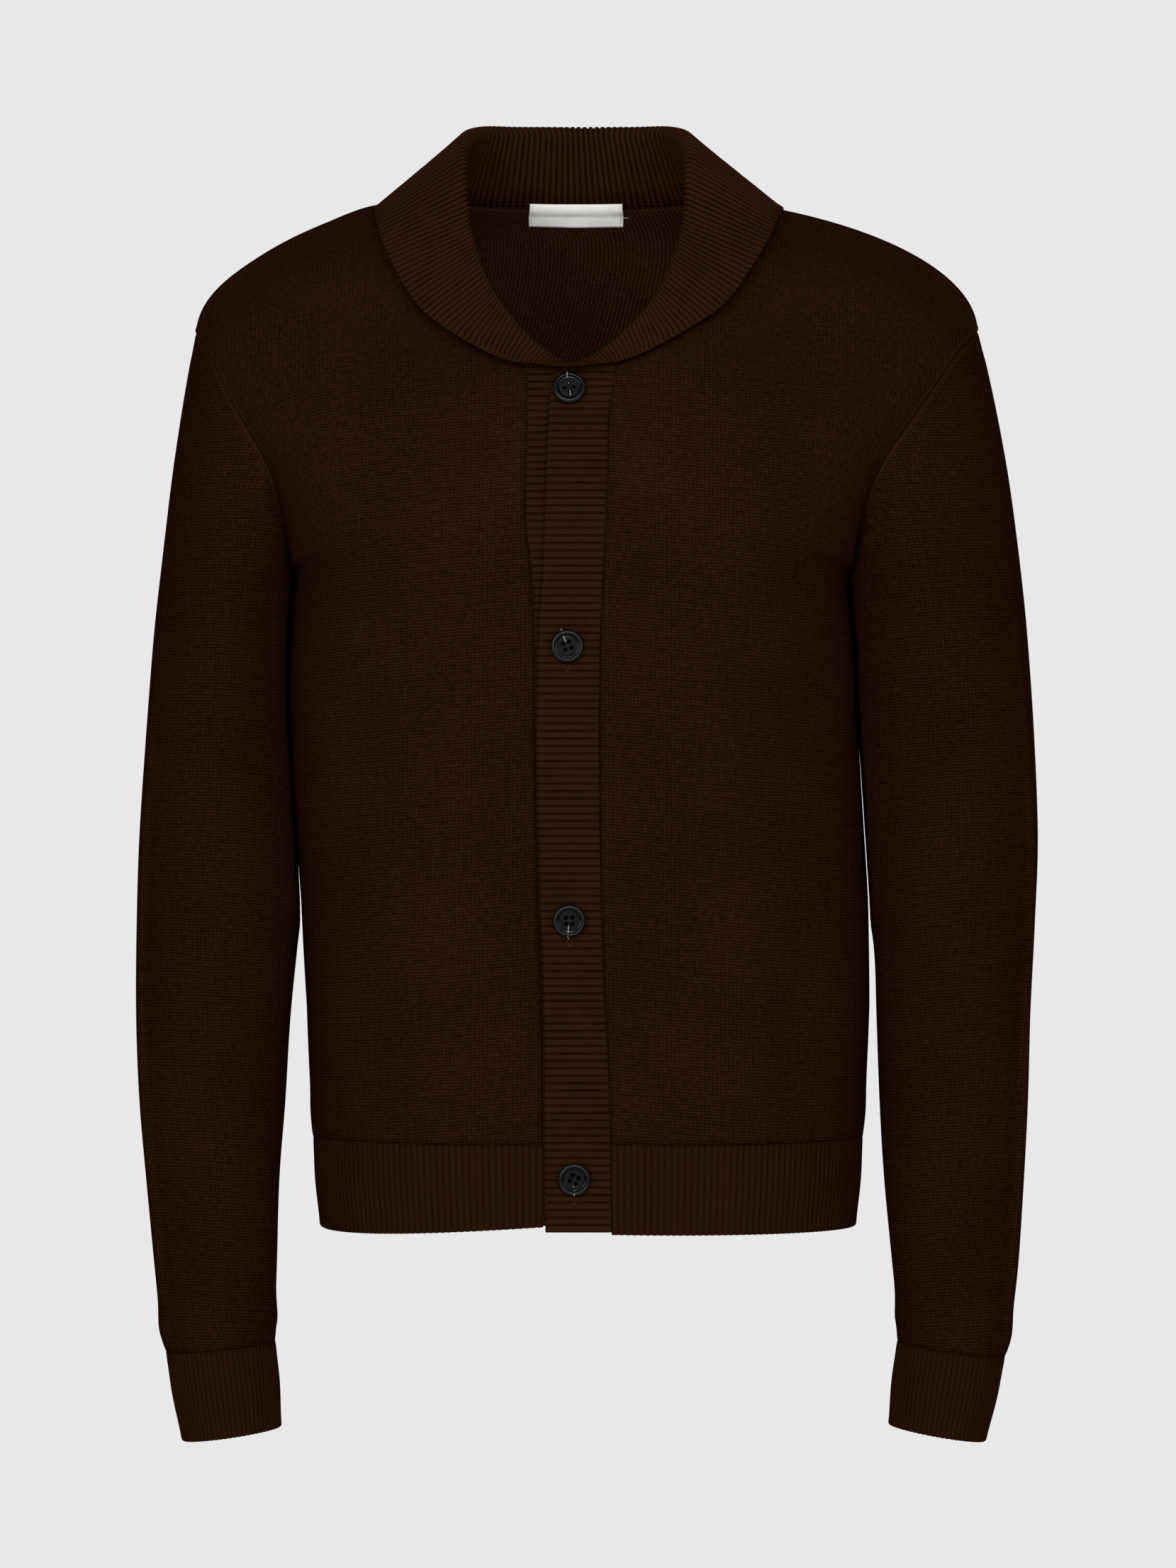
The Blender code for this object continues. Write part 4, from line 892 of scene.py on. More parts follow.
def panel(node, grid, lift, uv, selvedge_highlight):
    normals = unit(np.cross(np.gradient(grid, axis=0), np.gradient(grid, axis=1)))
    normals = facing(normals, grid - BODY_AXIS)
    outer = grid + lift[:, :, None] * normals
    inner = outer - JERSEY * normals
    piece = wall(node + "_knit", outer, inner, uv, rounded=False, selvedge_highlight=selvedge_highlight)
    piece.data.materials.append(JERSEY_FACE)
    piece.data.materials.append(JERSEY_REVERSE_PAINTED_LIGHT)
    settle(piece, node, sheet_size(outer))
    return inner


for side, name in ((LEFT, "front_left"), (RIGHT, "front_right")):
    grid = fronts[side]
    in_from, out_from = distances(grid, 1)
    lift = panel_lift(grid, 1.0 + side, folds_of(side, BODY_FOLDS), in_from, out_from)
    lift = lift + AT_ARMHOLE * near(out_from, 0.0018, 0.0012)
    lift += 0.0013 * near(in_from, 0.0021, 0.0010) - 0.0006 * near(in_from, 0.0, 0.0009)
    uv = cloth_uv(grid)
    uv[:, :, 0] += np.abs(grid[:, :1, 0])
    selvedge_highlight = np.maximum(near(in_from, 0.0021, 0.0013), near(out_from, *SELVEDGE_HIGHLIGHT))
    panel(name, grid, lift, uv, selvedge_highlight)

# %% [markdown]
# The back is one panel. Its middle lies over the shoulder blades and hangs in slow waves below
# them, and its top edge is the neckline between the two shoulder seams.

# %% The back
in_from, out_from = distances(back, 1)
from_armhole = np.minimum(in_from, out_from)
lift = panel_lift(back, 4.0, BACK_FOLDS, in_from, out_from)
lift = lift + AT_ARMHOLE * near(from_armhole, 0.0018, 0.0012)
back_inner = panel("back", back, lift, cloth_uv(back), near(from_armhole, *SELVEDGE_HIGHLIGHT))

# %% [markdown]
# ## Sleeves
# A sleeve begins as the armhole and turns into plain ovals on its way to the cuff. It lies flat
# against the body's side for the first half of its length, and a soft crease runs down just in
# front of its outer line, where it was folded. The elbow and the cuff gather it a little.

# %% Rings of the sleeves
ARMHOLE_FADE_RINGS, SIDE_GAP = 5.0, 0.0009
SLEEVE_PER_RING = 9
# a ring starts under the arm, and is half round here
OUTER_COLUMN = (TOP_ROW - ARMPIT_ROW) * PER_ROW


def oval(row, side, turns):
    outer = point(side * row.outer_x, 0.0, row.outer_z)
    inner = point(side * row.inner_x, 0.0, row.inner_z)
    middle = (outer + inner) / 2 + point(0.0, row.middle_y, 0.0)
    reach = (outer - inner) / 2
    angles = 2 * math.pi * np.asarray(turns)
    outwards, forwards = np.cos(angles)[:, None], np.sin(angles)[:, None]
    return middle + outwards * reach + forwards * point(0, -1, 0) * row.depth


def side_x(side, z):
    """How far out the body's side is at a height below the armpit."""
    rows = slice(0, ARMPIT_ROW + 1)
    if z > FRONT.column("out_z")[ARMPIT_ROW]:
        return 0.0
    width = float(np.interp(z, FRONT.column("out_z")[rows], FRONT.column("out_x")[rows]))
    return side * lean(side * width, z)


def armhole(side):
    first = (ARMPIT_ROW - HEM_SEAM_ROW) * PER_ROW
    down = fronts[side][first:, -1][::-1]
    up = back[first:, -1 if side == LEFT else 0]
    return np.concatenate([down, up[1:-1]]), len(down) - 1


def sleeve_rings(side):
    table = SLEEVES[side]
    loop, half = armhole(side)
    steps = np.linalg.norm(np.roll(loop, -1, axis=0) - loop, axis=1)
    front_part = np.cumsum(steps[:half]) / steps[:half].sum()
    back_part = np.cumsum(steps[half:]) / steps[half:].sum()
    turns = np.concatenate([[0.0], 0.5 * front_part, 0.5 + 0.5 * back_part[:-1]])
    loop, turns = np.roll(loop, -half, axis=0), np.roll(turns, -half)
    own_shape = loop - oval(table.at(0), side, turns)
    rings = []
    for index in np.linspace(0, CUFF_SEAM_RING, CUFF_SEAM_RING * SLEEVE_PER_RING + 1):
        share = max(0.0, 1 - index / ARMHOLE_FADE_RINGS) ** 2
        ring = oval(table.at(index), side, turns) + share * own_shape
        if index > 0:
            nearest = np.array([side_x(side, z) for z in ring[:, 2]]) + SIDE_GAP
            ring[:, 0] = side * np.maximum(side * ring[:, 0], nearest)
        rings.append(ring)
    return np.array(rings), turns


# %% Creases of the sleeves
# side, then start and end as turn and ring, width in turns, height
SLEEVE_FOLDS = (
    (LEFT, (0.084, 4.6), (0.078, 14.6), 0.011, 0.0042),
    (LEFT, (0.045, 4.8), (0.040, 14.4), 0.012, -0.0020),
    (LEFT, (0.320, 1.0), (0.180, 2.6), 0.050, -0.0020),
    (LEFT, (0.420, 1.6), (0.260, 4.4), 0.050, -0.0022),
    (LEFT, (0.360, 6.6), (0.180, 7.8), 0.060, -0.0020),
    (LEFT, (0.440, 8.0), (0.260, 9.0), 0.060, -0.0018),
    (LEFT, (0.640, 1.4), (0.780, 3.6), 0.050, -0.0024),
    (LEFT, (0.600, 6.8), (0.840, 7.6), 0.060, -0.0020),
    (RIGHT, (0.080, 4.8), (0.086, 14.6), 0.011, 0.0036),
    (RIGHT, (0.040, 5.0), (0.045, 14.4), 0.012, -0.0018),
    (RIGHT, (0.330, 1.0), (0.190, 2.4), 0.050, -0.0020),
    (RIGHT, (0.420, 1.8), (0.280, 4.8), 0.050, -0.0022),
    (RIGHT, (0.350, 6.2), (0.170, 7.2), 0.060, -0.0020),
    (RIGHT, (0.440, 7.6), (0.250, 8.8), 0.060, -0.0018),
    (RIGHT, (0.640, 1.6), (0.790, 3.4), 0.050, -0.0024),
    (RIGHT, (0.610, 6.6), (0.830, 7.8), 0.060, -0.0020),
)
RING_AS_TURNS = 0.16  # a ring's spacing, in the turns that it equals in length
TOUCHING, FREE_FROM_BODY = 0.0007, 0.01  # creases fade out where the sleeve lies by the side


def sleeve_uv(rings):
    """Courses lie across the sleeve, and wales run parallel to its outer line, so that the knit
    meets itself at a seam under the arm."""
    loop = np.concatenate([rings, rings[:, :1]], axis=1)
    down = unit(loop[-1].mean(axis=0) - loop[0].mean(axis=0))
    step = np.diff(loop, axis=1)
    step = step - (step @ down)[:, :, None] * down
    lengths = np.cumsum(np.linalg.norm(step, axis=2), axis=1)
    run = np.concatenate([np.zeros((len(loop), 1)), lengths], axis=1)
    return np.stack([run - run[:, OUTER_COLUMN : OUTER_COLUMN + 1], -(loop @ down)], axis=2)


def sleeve_lift(side, turns, rings):
    t, r = np.meshgrid(turns, rings * RING_AS_TURNS)
    lift = 0.0005 * (np.sin(9 * t * 2 * math.pi / 3 + 4 * r) + np.sin(5 * r + 12 * t))
    for start, end, width, height in folds_of(side, SLEEVE_FOLDS):
        first, last = (start[0], start[1] * RING_AS_TURNS), (end[0], end[1] * RING_AS_TURNS)
        lift += ridge(t, r, first, last, width, height)
    return lift


for side, name in ((LEFT, "sleeve_left"), (RIGHT, "sleeve_right")):
    rings, turns = sleeve_rings(side)
    around = np.roll(rings, -1, axis=1) - np.roll(rings, 1, axis=1)
    normals = unit(np.cross(np.gradient(rings, axis=0), around))
    normals = facing(normals, rings - rings.mean(axis=1, keepdims=True))
    lift = sleeve_lift(side, turns, np.linspace(0, CUFF_SEAM_RING, len(rings)))
    top_from, cuff_from = distances(rings, 0)
    lift += 0.0016 * near(cuff_from, 0.014, 0.012)
    body_side = np.array([[side_x(side, z) for z in ring[:, 2]] for ring in rings])
    free = np.clip((side * rings[:, :, 0] - body_side - TOUCHING) / FREE_FROM_BODY, 0, 1)
    lift = lift * np.clip(top_from / 0.02, 0, 1) * np.clip(cuff_from / 0.004, 0, 1) * free
    lift += seam_dip(top_from, 0.0005) + seam_dip(cuff_from, 0.0005)
    outer = rings + lift[:, :, None] * normals
    inner = outer - JERSEY * normals
    uv = sleeve_uv(rings)
    piece = wall(
        name + "_knit", outer.transpose(1, 0, 2), inner.transpose(1, 0, 2), uv.transpose(1, 0, 2),
        closed=True, rounded=False, selvedge_highlight=near(top_from, *SELVEDGE_HIGHLIGHT).T,
    )
    piece.data.materials.append(SLEEVE_FACE_PAINTED_SHADE)
    piece.data.materials.append(JERSEY_REVERSE_PAINTED_LIGHT)
    flat = sheet_size(np.concatenate([outer, outer[:, :1]], axis=1))
    settle(piece, name, flat)

# %% [markdown]
# ## Hem and cuffs
# The hem and the cuffs are ribs that grip: they draw in below their seams, and their lower edges
# are round and soft. Each rib runs down the piece, so a station is an eighth of a rib.

# %% Ribbed strips
PER_RIB = 8
HEM_PITCH, CUFF_PITCH = 0.0041, 0.0034
DOWN_STEPS = 14


def resampled(line, count):
    run = run_along(line)
    return at_run(np.linspace(0, run[-1], count), run, line)


def hanging_rib(name, node, top, bottom, pitch, closed):
    """A ribbed strip from its seam down to its free edge, or a tube of it."""
    length = np.linalg.norm(np.diff(top, axis=0), axis=1).sum()
    ribs = round(length / pitch)
    count = ribs * PER_RIB + 1
    upper, lower = resampled(top, count), resampled(bottom, count)
    down = np.linspace(0, 1, DOWN_STEPS + 1)
    middle = (upper.mean(axis=0) if closed else upper.mean(axis=0) * point(0, 0, 1))
    along = np.gradient(upper, axis=0)
    if closed:
        along[0] = along[-1] = upper[1] - upper[-2]
    ways = facing(unit(np.cross(along, point(0, 0, 1))), upper - middle)
    outer = upper[:, None] + (lower - upper)[:, None] * down[None, :, None]
    belly = 0.0008 * np.sin(math.pi * down) ** 2 - 0.0003 * near(down, 0.0, 0.03)
    outer = outer + belly[None, :, None] * ways[:, None]
    inner = outer - RIB_WALL * ways[:, None]
    drop = np.linalg.norm(lower - upper, axis=1).mean()
    u, v = np.meshgrid(np.linspace(0, ribs, count), down * drop, indexing="ij")
    uv = np.stack([u, v], axis=2)
    from_seam, from_edge = (down[None] + 0.02) / 0.06, (1.02 - down[None]) / 0.05
    share = np.clip(from_seam, 0, 1) * np.clip(from_edge, 0.35, 1)
    share = np.repeat(share, count, axis=0)
    rib = np.linspace(0, ribs, count)
    size = sheet_size(outer)
    if closed:
        outer, inner, rib, share = outer[:-1], inner[:-1], rib[:-1], share[:-1]
    piece = wall(name, outer, inner, uv, closed=closed, rib=rib, share=share)
    grow(piece, RIBS, Depth=RIB_DEPTH * 0.7, Groove_Width=0.18, Middle_Line=0.12, Material=HEM_CUFF_RIB_PAINTED_SHADE)
    settle(piece, node, size)
    return ribs


DENSE = np.linspace(0, 1, 121)
HEM_RISE, HEM_SAG = 0.0056, 0.0016  # the right front's hem is drawn up towards its band
LEFT_RISE = 0.0012  # the left one meets its band's lower end
for side, name in ((LEFT, "hem_front_left"), (RIGHT, "hem_front_right")):
    top, bottom = (front_row(side, index, DENSE) for index in (HEM_SEAM_ROW, HEM_BOTTOM_ROW))
    if side == RIGHT:
        bottom[:, 2] += HEM_RISE * (1 - DENSE) ** 2 - HEM_SAG * np.sin(math.pi * DENSE)
    else:
        bottom[:, 2] += LEFT_RISE * (1 - DENSE) ** 4
    print(hanging_rib(name + "_rib", name, top, bottom, HEM_PITCH, False), "ribs")
top, bottom = (back_row(index, DENSE) for index in (HEM_SEAM_ROW, HEM_BOTTOM_ROW))
print(hanging_rib("hem_back_rib", "hem_back", top, bottom, HEM_PITCH, False), "ribs")
for side, name in ((LEFT, "cuff_left"), (RIGHT, "cuff_right")):
    turns, ends = np.linspace(0, 1, 241), (CUFF_SEAM_RING, CUFF_EDGE_RING)
    top, bottom = (oval(SLEEVES[side].at(ring), side, turns) for ring in ends)
    print(hanging_rib(name + "_rib", name, top, bottom, CUFF_PITCH, True), "ribs")

# %% [markdown]
# ## Front bands
# The bands are knitted sideways and linked to the fronts, so their ribs lie level. The left band
# carries the buttonholes and lies on top, and the right one carries the buttons under it.

# %% Bands
BAND_TOP_Z, BAND_BOTTOM_Z, BAND_PITCH, BAND_WIDTH = -0.1100, -0.6335, 0.0045, 0.0365
LAYER_GAP, BAND_ACROSS = 0.0005, 24
UNDER_BAND_RISE = 0.0036  # its lower end is drawn up with the right front's hem
BAND_EDGE = Table(
    "z x",
    (-0.1100, -0.0130),
    (-0.1150, -0.0185),
    (-0.1250, -0.0225),
    (-0.1430, -0.0240),
    (-0.1740, -0.0252),
    (-0.2060, -0.0262),
    (-0.2380, -0.0272),
    (-0.2620, -0.0293),
    (-0.3300, -0.0308),
    (-0.4300, -0.0290),
    (-0.4800, -0.0268),
    (-0.5807, -0.0258),
    (-0.6350, -0.0258),
)


def front_depth(z):
    return float(np.interp(z, FRONT.column("in_z"), FRONT.column("in_y")))


def band_normal(z):
    z = min(z, BAND_TOP_Z - 0.004)
    rise = (front_depth(z + 0.004) - front_depth(z - 0.004)) / 0.008
    return unit(point(0.0, -1.0, rise))


def band_point(x, z, lift):
    return point(x, front_depth(z), z) + lift * band_normal(z)


def seam_x(side, z):
    seam = FRONT.column("in_left" if side == LEFT else "in_right")
    return float(np.interp(z, FRONT.column("in_z"), seam))


def band(name, node, seam, free, lift, rise=0.0):
    ribs = round((BAND_TOP_Z - BAND_BOTTOM_Z) / BAND_PITCH)
    heights = np.linspace(BAND_BOTTOM_Z, BAND_TOP_Z, ribs * PER_RIB + 1)
    shares = np.linspace(0, 1, BAND_ACROSS + 1)
    ups = rise * np.clip(1 - (heights - BAND_BOTTOM_Z) / 0.03, 0, 1)

    def across(z, up):
        start, reach = seam(z), free(z) - seam(z)
        return [band_point(start + reach * t, z + up * (1 - t), lift) for t in shares]

    outer = np.array([across(z, up) for z, up in zip(heights, ups)])
    from_seam, from_free = distances(outer, 1)
    ways = np.array([band_normal(z) for z in heights])
    inner = outer - RIB_WALL * ways[:, None]
    rib = np.linspace(0, ribs, len(heights))
    u, v = np.meshgrid(rib, shares * BAND_WIDTH, indexing="ij")
    share = np.clip((from_free - 0.0020) / 0.0012, 0, 1) * np.clip(from_seam / 0.0008, 0.3, 1)
    ends = np.clip(np.minimum(rib, ribs - rib) / 0.5, 0, 1)[:, None]
    piece = wall(name, outer, inner, np.stack([u, v], axis=2), rib=rib, share=share * ends)
    grow(piece, RIBS, Depth=0.0010, Groove_Width=0.22, Middle_Line=0.38, Material=BAND_RIB)
    settle(piece, node, sheet_size(outer))


band(
    "band_left_rib",
    "band_left",
    lambda z: seam_x(LEFT, z),
    lambda z: BAND_EDGE.level(z).x + 0.0015,
    LAYER_GAP,
)
band(
    "band_right_rib",
    "band_right",
    lambda z: seam_x(RIGHT, z),
    lambda z: min(seam_x(RIGHT, z) + BAND_WIDTH, seam_x(LEFT, z) - 0.004),
    -RIB_WALL - 0.0003,
    UNDER_BAND_RISE,
)

# %% [markdown]
# ## Shawl collar
# The collar is a deep rib that is sewn to the neckline, stands up, rolls over and falls. Its shape
# is a profile, carried along the neckline: a stand, a round fold and a straight fall. The
# ribs run across it, from the seam over the roll to the free edge, and fan out round the neck.

# %% Sections of the collar
# short is the share by which the left side falls shorter, and pitch is the ribs' on the fall
COLLAR = Table(
    "seam roll_x roll_y roll_z edge_x edge_y edge_z fold bow short pitch",
    (0.000, -0.0028, -0.1190, -0.1105, -0.0020, -0.1245, -0.1118, 0.0015, 0.0000, 0.00, 0.0019),
    (0.083, 0.0125, -0.1165, -0.1055, 0.0180, -0.1243, -0.1096, 0.0022, 0.0000, 0.08, 0.0024),
    (0.152, 0.0300, -0.1080, -0.0925, 0.0442, -0.1183, -0.1046, 0.0028, 0.0000, 0.17, 0.0031),
    (0.245, 0.0480, -0.0925, -0.0712, 0.0778, -0.1020, -0.0857, 0.0033, 0.0000, 0.16, 0.0036),
    (0.354, 0.0600, -0.0745, -0.0460, 0.0967, -0.0870, -0.0684, 0.0037, 0.0000, 0.10, 0.0039),
    (0.470, 0.0673, -0.0520, -0.0163, 0.1150, -0.0560, -0.0362, 0.0040, 0.0000, 0.05, 0.0041),
    (0.575, 0.0690, -0.0240, 0.0185, 0.1232, -0.0220, -0.0128, 0.0043, -0.0004, 0.01, 0.0044),
    (0.655, 0.0678, 0.0060, 0.0385, 0.1250, 0.0150, -0.0050, 0.0045, -0.0006, 0.00, 0.0050),
    (0.745, 0.0590, 0.0340, 0.0470, 0.1075, 0.0560, -0.0110, 0.0045, -0.0004, 0.00, 0.0055),
    (0.865, 0.0355, 0.0540, 0.0490, 0.0630, 0.0800, -0.0150, 0.0045, 0.0010, 0.00, 0.0056),
    (1.000, 0.0000, 0.0610, 0.0497, 0.0000, 0.0890, -0.0160, 0.0045, 0.0022, 0.00, 0.0056),
)
COLLAR_UNDER_STATIONS = 3.0
RIB_FAN = 0.42  # in front the ribs meet the free edge this many stations nearer to the V
STAND_STEPS, FOLD_STEPS, FALL_STEPS = 3, 8, 16


def neckline():
    """The neckline from the right front's band round the back to the left front's, and the ways
    out of the cloth there."""
    start = (NECKLINE_ROW - HEM_SEAM_ROW) * PER_ROW
    neck = round(NECK_SHARE * (len(BACK_FRACTIONS) - 1))
    middle = back.shape[1] // 2
    across = slice(middle - neck + 1, middle + neck)

    def line(column, row):
        right, left = (fronts[side][start:, column] for side in (RIGHT, LEFT))
        return np.concatenate([right, back[row, across], left[::-1]])

    edge, beside = line(0, -1), line(3, -4)
    along = unit(np.gradient(edge, axis=0))
    ways = edge - beside
    ways = unit(ways - (ways * along).sum(axis=1, keepdims=True) * along)
    return edge, ways


def tangent_point(away, radius, sense):
    far = math.hypot(*away)
    turn = sense * math.acos(min(1.0, radius / far))
    c, s = math.cos(turn), math.sin(turn)
    x, y = away[0] / far, away[1] / far
    return radius * np.array([c * x - s * y, s * x + c * y])


def collar_profile(seam, roll, edge, fold, bow):
    """The wall's middle line from the neck seam over the roll to the free edge, and its normals."""
    up = unit(roll - seam)
    away = edge - roll
    out = unit(away - (away @ up) * up)
    centre = roll - fold * up

    def flat(p):
        return np.array([(p - centre) @ up, (p - centre) @ out])

    leave, arrive = tangent_point(flat(seam), fold, 1), tangent_point(flat(edge), fold, -1)
    first, last = math.atan2(leave[1], leave[0]), math.atan2(arrive[1], arrive[0])
    stand = [flat(seam) + (leave - flat(seam)) * t for t in np.linspace(0, 1, STAND_STEPS + 1)]
    angles = np.linspace(first, last, FOLD_STEPS + 1)
    turn = [fold * np.array([math.cos(a), math.sin(a)]) for a in angles]
    along = unit(flat(edge) - arrive)
    outwards = np.array([-along[1], along[0]])
    fall = [
        arrive + (flat(edge) - arrive) * t + bow * math.sin(math.pi * t) * outwards
        for t in np.linspace(0, 1, FALL_STEPS + 1)
    ]
    line = np.array(stand[:-1] + turn + fall[1:])
    along = unit(np.gradient(line, axis=0))
    sideways = np.stack([along[:, 1], -along[:, 0]], axis=1)
    plane = np.stack([up, out])
    return centre + line @ plane, sideways @ plane


# %% The collar
neck_edge, neck_ways = neckline()
neck_run = run_along(neck_edge)
neck_run /= neck_run[-1]


def collar_station(place):
    """The collar's profile at a place from -1, the right front's point, to 1, the left front's."""
    side = LEFT if place > 0 else RIGHT
    index = COLLAR.last * (1 - abs(place))
    row = COLLAR.at(index)
    half = 0.5 * min(max(row.seam, 0.0), 1.0)
    where = half if side == RIGHT else 1 - half
    seam, way = at_run(where, neck_run, neck_edge), unit(at_run(where, neck_run, neck_ways))
    sunk = UNDER_LAYER * max(0.0, 1 - index / COLLAR_UNDER_STATIONS) if side == RIGHT else 0.0
    roll = point(lean(side * row.roll_x, row.roll_z), row.roll_y + sunk, row.roll_z)
    fanned = COLLAR.at(index - RIB_FAN * near(index, 2.9, 1.1))
    edge = point(lean(side * fanned.edge_x, fanned.edge_z), fanned.edge_y + sunk, fanned.edge_z)
    if side == LEFT:
        edge += row.short * (roll - edge)
    return collar_profile(seam - 0.0010 * way, roll, edge, row.fold, row.bow)


probe = np.linspace(-1, 1, 401)
middles = np.array([collar_station(p)[0][-7] for p in probe])
pitches = np.array([COLLAR.at(COLLAR.last * (1 - abs(p))).pitch for p in probe])
run = np.linalg.norm(np.diff(middles, axis=0), axis=1) * 2 / (pitches[1:] + pitches[:-1])
run = np.concatenate([[0.0], np.cumsum(run)])
collar_ribs = round(run[-1])
places = np.interp(np.linspace(0, run[-1], collar_ribs * PER_RIB + 1), run, probe)
lines, ways = (np.array(part) for part in zip(*[collar_station(p) for p in places]))
from_tip = COLLAR.last * (1 - np.abs(places))
half = (RIB_WALL / 2 * (0.62 + 0.38 * np.clip(from_tip / 1.5, 0, 1)))[:, None, None]
outer, inner = lines + half * ways, lines - half * ways
from_seam, from_edge = distances(lines, 1)
outer += (0.0004 * near(from_edge, 0.0, 0.0022))[:, :, None] * ways
rib = np.linspace(0, collar_ribs, len(places))
uv = np.stack([np.repeat(rib[:, None], lines.shape[1], axis=1), from_seam], axis=2)
share = np.clip((from_edge - 0.0018) / 0.0014, 0.0, 1)
share *= np.clip(np.minimum(rib, collar_ribs - rib) / 0.5, 0, 1)[:, None]
share *= np.clip(from_tip / 1.2, 0.35, 1)[:, None]
print("collar ribs:", collar_ribs)
collar = wall("collar_rib", outer, inner, uv, rib=rib, share=share)
grow(collar, RIBS, Depth=0.0012, Groove_Width=0.20, Middle_Line=0.0, Material=COLLAR_RIB_PAINTED_LIGHT)
settle(collar, "collar", sheet_size(lines))

# %% [markdown]
# ## Stitches
# Short stitches are all alike, so a second tree sews them: it turns a line into a curve, marks it
# off in steps, and lays a small rounded stitch along the curve at each step.

# %% The stitch tree
def stitch_tree():
    tree, net, given = new_tree("sew_stitches", ["Step", "Length", "Radius"])
    curve = net.add("GeometryNodeMeshToCurve", values=[given["Geometry"]])
    spaced = {"Curve": curve, "Length": given["Step"]}
    marks = net.add("GeometryNodeCurveToPoints", {"mode": "LENGTH"}, spaced)
    turned = Wire(net, marks.socket.node.outputs["Rotation"])
    stitch = net.add("GeometryNodeMeshIcoSphere", values={"Radius": 1.0, "Subdivisions": 2})
    half = given["Length"] * 0.5
    size = net.add("ShaderNodeCombineXYZ", values=[given["Radius"], given["Radius"], half])
    values = {"Points": marks, "Instance": stitch, "Rotation": turned, "Scale": size}
    return close_tree(tree, net, net.add("GeometryNodeInstanceOnPoints", values=values), given)


STITCHES = stitch_tree()


def polyline(name, lines):
    mesh = bpy.data.meshes.new(name)
    points, edges = [], []
    for line in lines:
        edges += [(len(points) + k, len(points) + k + 1) for k in range(len(line) - 1)]
        points += [tuple(map(float, p)) for p in line]
    mesh.from_pydata(points, edges, [])
    return linked(name, mesh)


def sew(name, lines, step, length, radius, material):
    sizes = {"Step": step, "Length": length, "Radius": radius}
    piece = grow(polyline(name, lines), STITCHES, Material=material, **sizes)
    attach(piece, "root")
    print(name, len(piece.data.polygons), "faces")


def thread(name, line, radius, material):
    """A round thread along a smooth line, with rounded ends."""
    curve = bpy.data.curves.new(name, "CURVE")
    curve.dimensions, curve.bevel_depth, curve.bevel_resolution = "3D", radius, 2
    curve.resolution_u, curve.use_fill_caps = 8, True
    spline = curve.splines.new("NURBS")
    spline.points.add(len(line) - 1)
    spline.use_endpoint_u, spline.order_u = True, 3
    for k, p in enumerate(line):
        spline.points[k].co = (*map(float, p), 1.0)
    source = linked(name, curve)
    mesh = finished_mesh(source)
    bpy.data.objects.remove(source)
    made = made_object(name, mesh)
    made.data.materials.clear()
    made.data.materials.append(material)
    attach(made, "root")


PALE_THREAD = new_material("pale_thread", (0.50, 0.49, 0.46), 0.6, 0.2)[0]
print("tree:", STITCHES.name)

# %% [markdown]
# ## Neck label
# The label is a blank woven tape, which is sewn inside the back neck at both of its short ends,
# over the collar's seam. It follows the knit under it, and lies half a millimetre off it.

# %% The label
LABEL_WIDTH, LABEL_HEIGHT, LABEL_THICKNESS, LABEL_CENTRE_X = 0.060, 0.015, 0.0008, -0.0075
LABEL_ACROSS, LABEL_DOWN, LABEL_OVER_SEAM = 36, 12, 0.0034
# a loose end of its thread, from the label's end outwards
LABEL_TAIL = np.array([
    [-0.001, -0.0002, 0.0], [0.001, -0.0010, 0.0003],
    [0.0022, -0.0012, -0.0002], [0.0031, -0.0006, 0.0005],
])


def tape():
    colour = (0.93, 0.92, 0.88)
    material, shader, net = new_material("woven_tape", colour, 0.8, 0.1)
    u, v, uv = uv_map(net)
    weave = wave(u / 0.0004) * wave(v / 0.0003 + 0.5)
    depth = 1 - weave * 0.07 + (noise(net, uv, 160.0, 2.0) - 0.5) * 0.12
    paint(net, shader, colour, depth, weave, 0.0001)
    return material


def inside_back(x, drop):
    """The point of the back's inner side at this x, this far down from the neckline."""
    half = round(NECK_SHARE * (len(BACK_FRACTIONS) - 1))
    middle = back_inner.shape[1] // 2
    neck = back_inner[:, middle - half : middle + half + 1]
    column = np.interp(x, neck[-1, :, 0], np.arange(neck.shape[1]))
    low = min(int(column), neck.shape[1] - 2)
    line = neck[::-1, low] + (column - low) * (neck[::-1, low + 1] - neck[::-1, low])
    return point(x, *at_run(drop, run_along(line), line)[1:])


def label_seat(x, drop):
    """The point under the label, which goes straight up where it is past the neckline."""
    return inside_back(x, max(drop, 0.0)) + point(0, 0, max(-drop, 0.0))


across = LABEL_CENTRE_X + LABEL_WIDTH * np.linspace(-0.5, 0.5, LABEL_ACROSS + 1)
drops = np.linspace(-LABEL_OVER_SEAM, LABEL_HEIGHT - LABEL_OVER_SEAM, LABEL_DOWN + 1)
seat = np.array([[label_seat(x, drop) for drop in drops] for x in across])
inwards = unit(np.cross(np.gradient(seat, axis=0), np.gradient(seat, axis=1)))
inwards = facing(inwards, point(0, -1, 0))
u, v = np.meshgrid(across, drops, indexing="ij")
ripple = 0.00025 * (np.sin(190 * u) * np.sin(300 * v) + 1) * np.clip(v / 0.006, 0, 1)
lift = LAYER_GAP + 0.0024 * np.clip((0.004 - v) / 0.005, 0, 1) + ripple
lie = seat + lift[:, :, None] * inwards
face = lie + LABEL_THICKNESS * inwards
label = wall("neck_tape", face, lie, np.stack([u, v], axis=2), rounded=False)
label.data.materials.append(tape())
label.data.materials.append(label.data.materials[0])
settle(label, "neck_label", sheet_size(lie))
ends = [face[column, 1:-1] + 0.0001 * inwards[column, 1:-1] for column in (1, -2)]
sew("label_stitches", ends, 0.0016, 0.0013, 0.00022, PALE_THREAD)
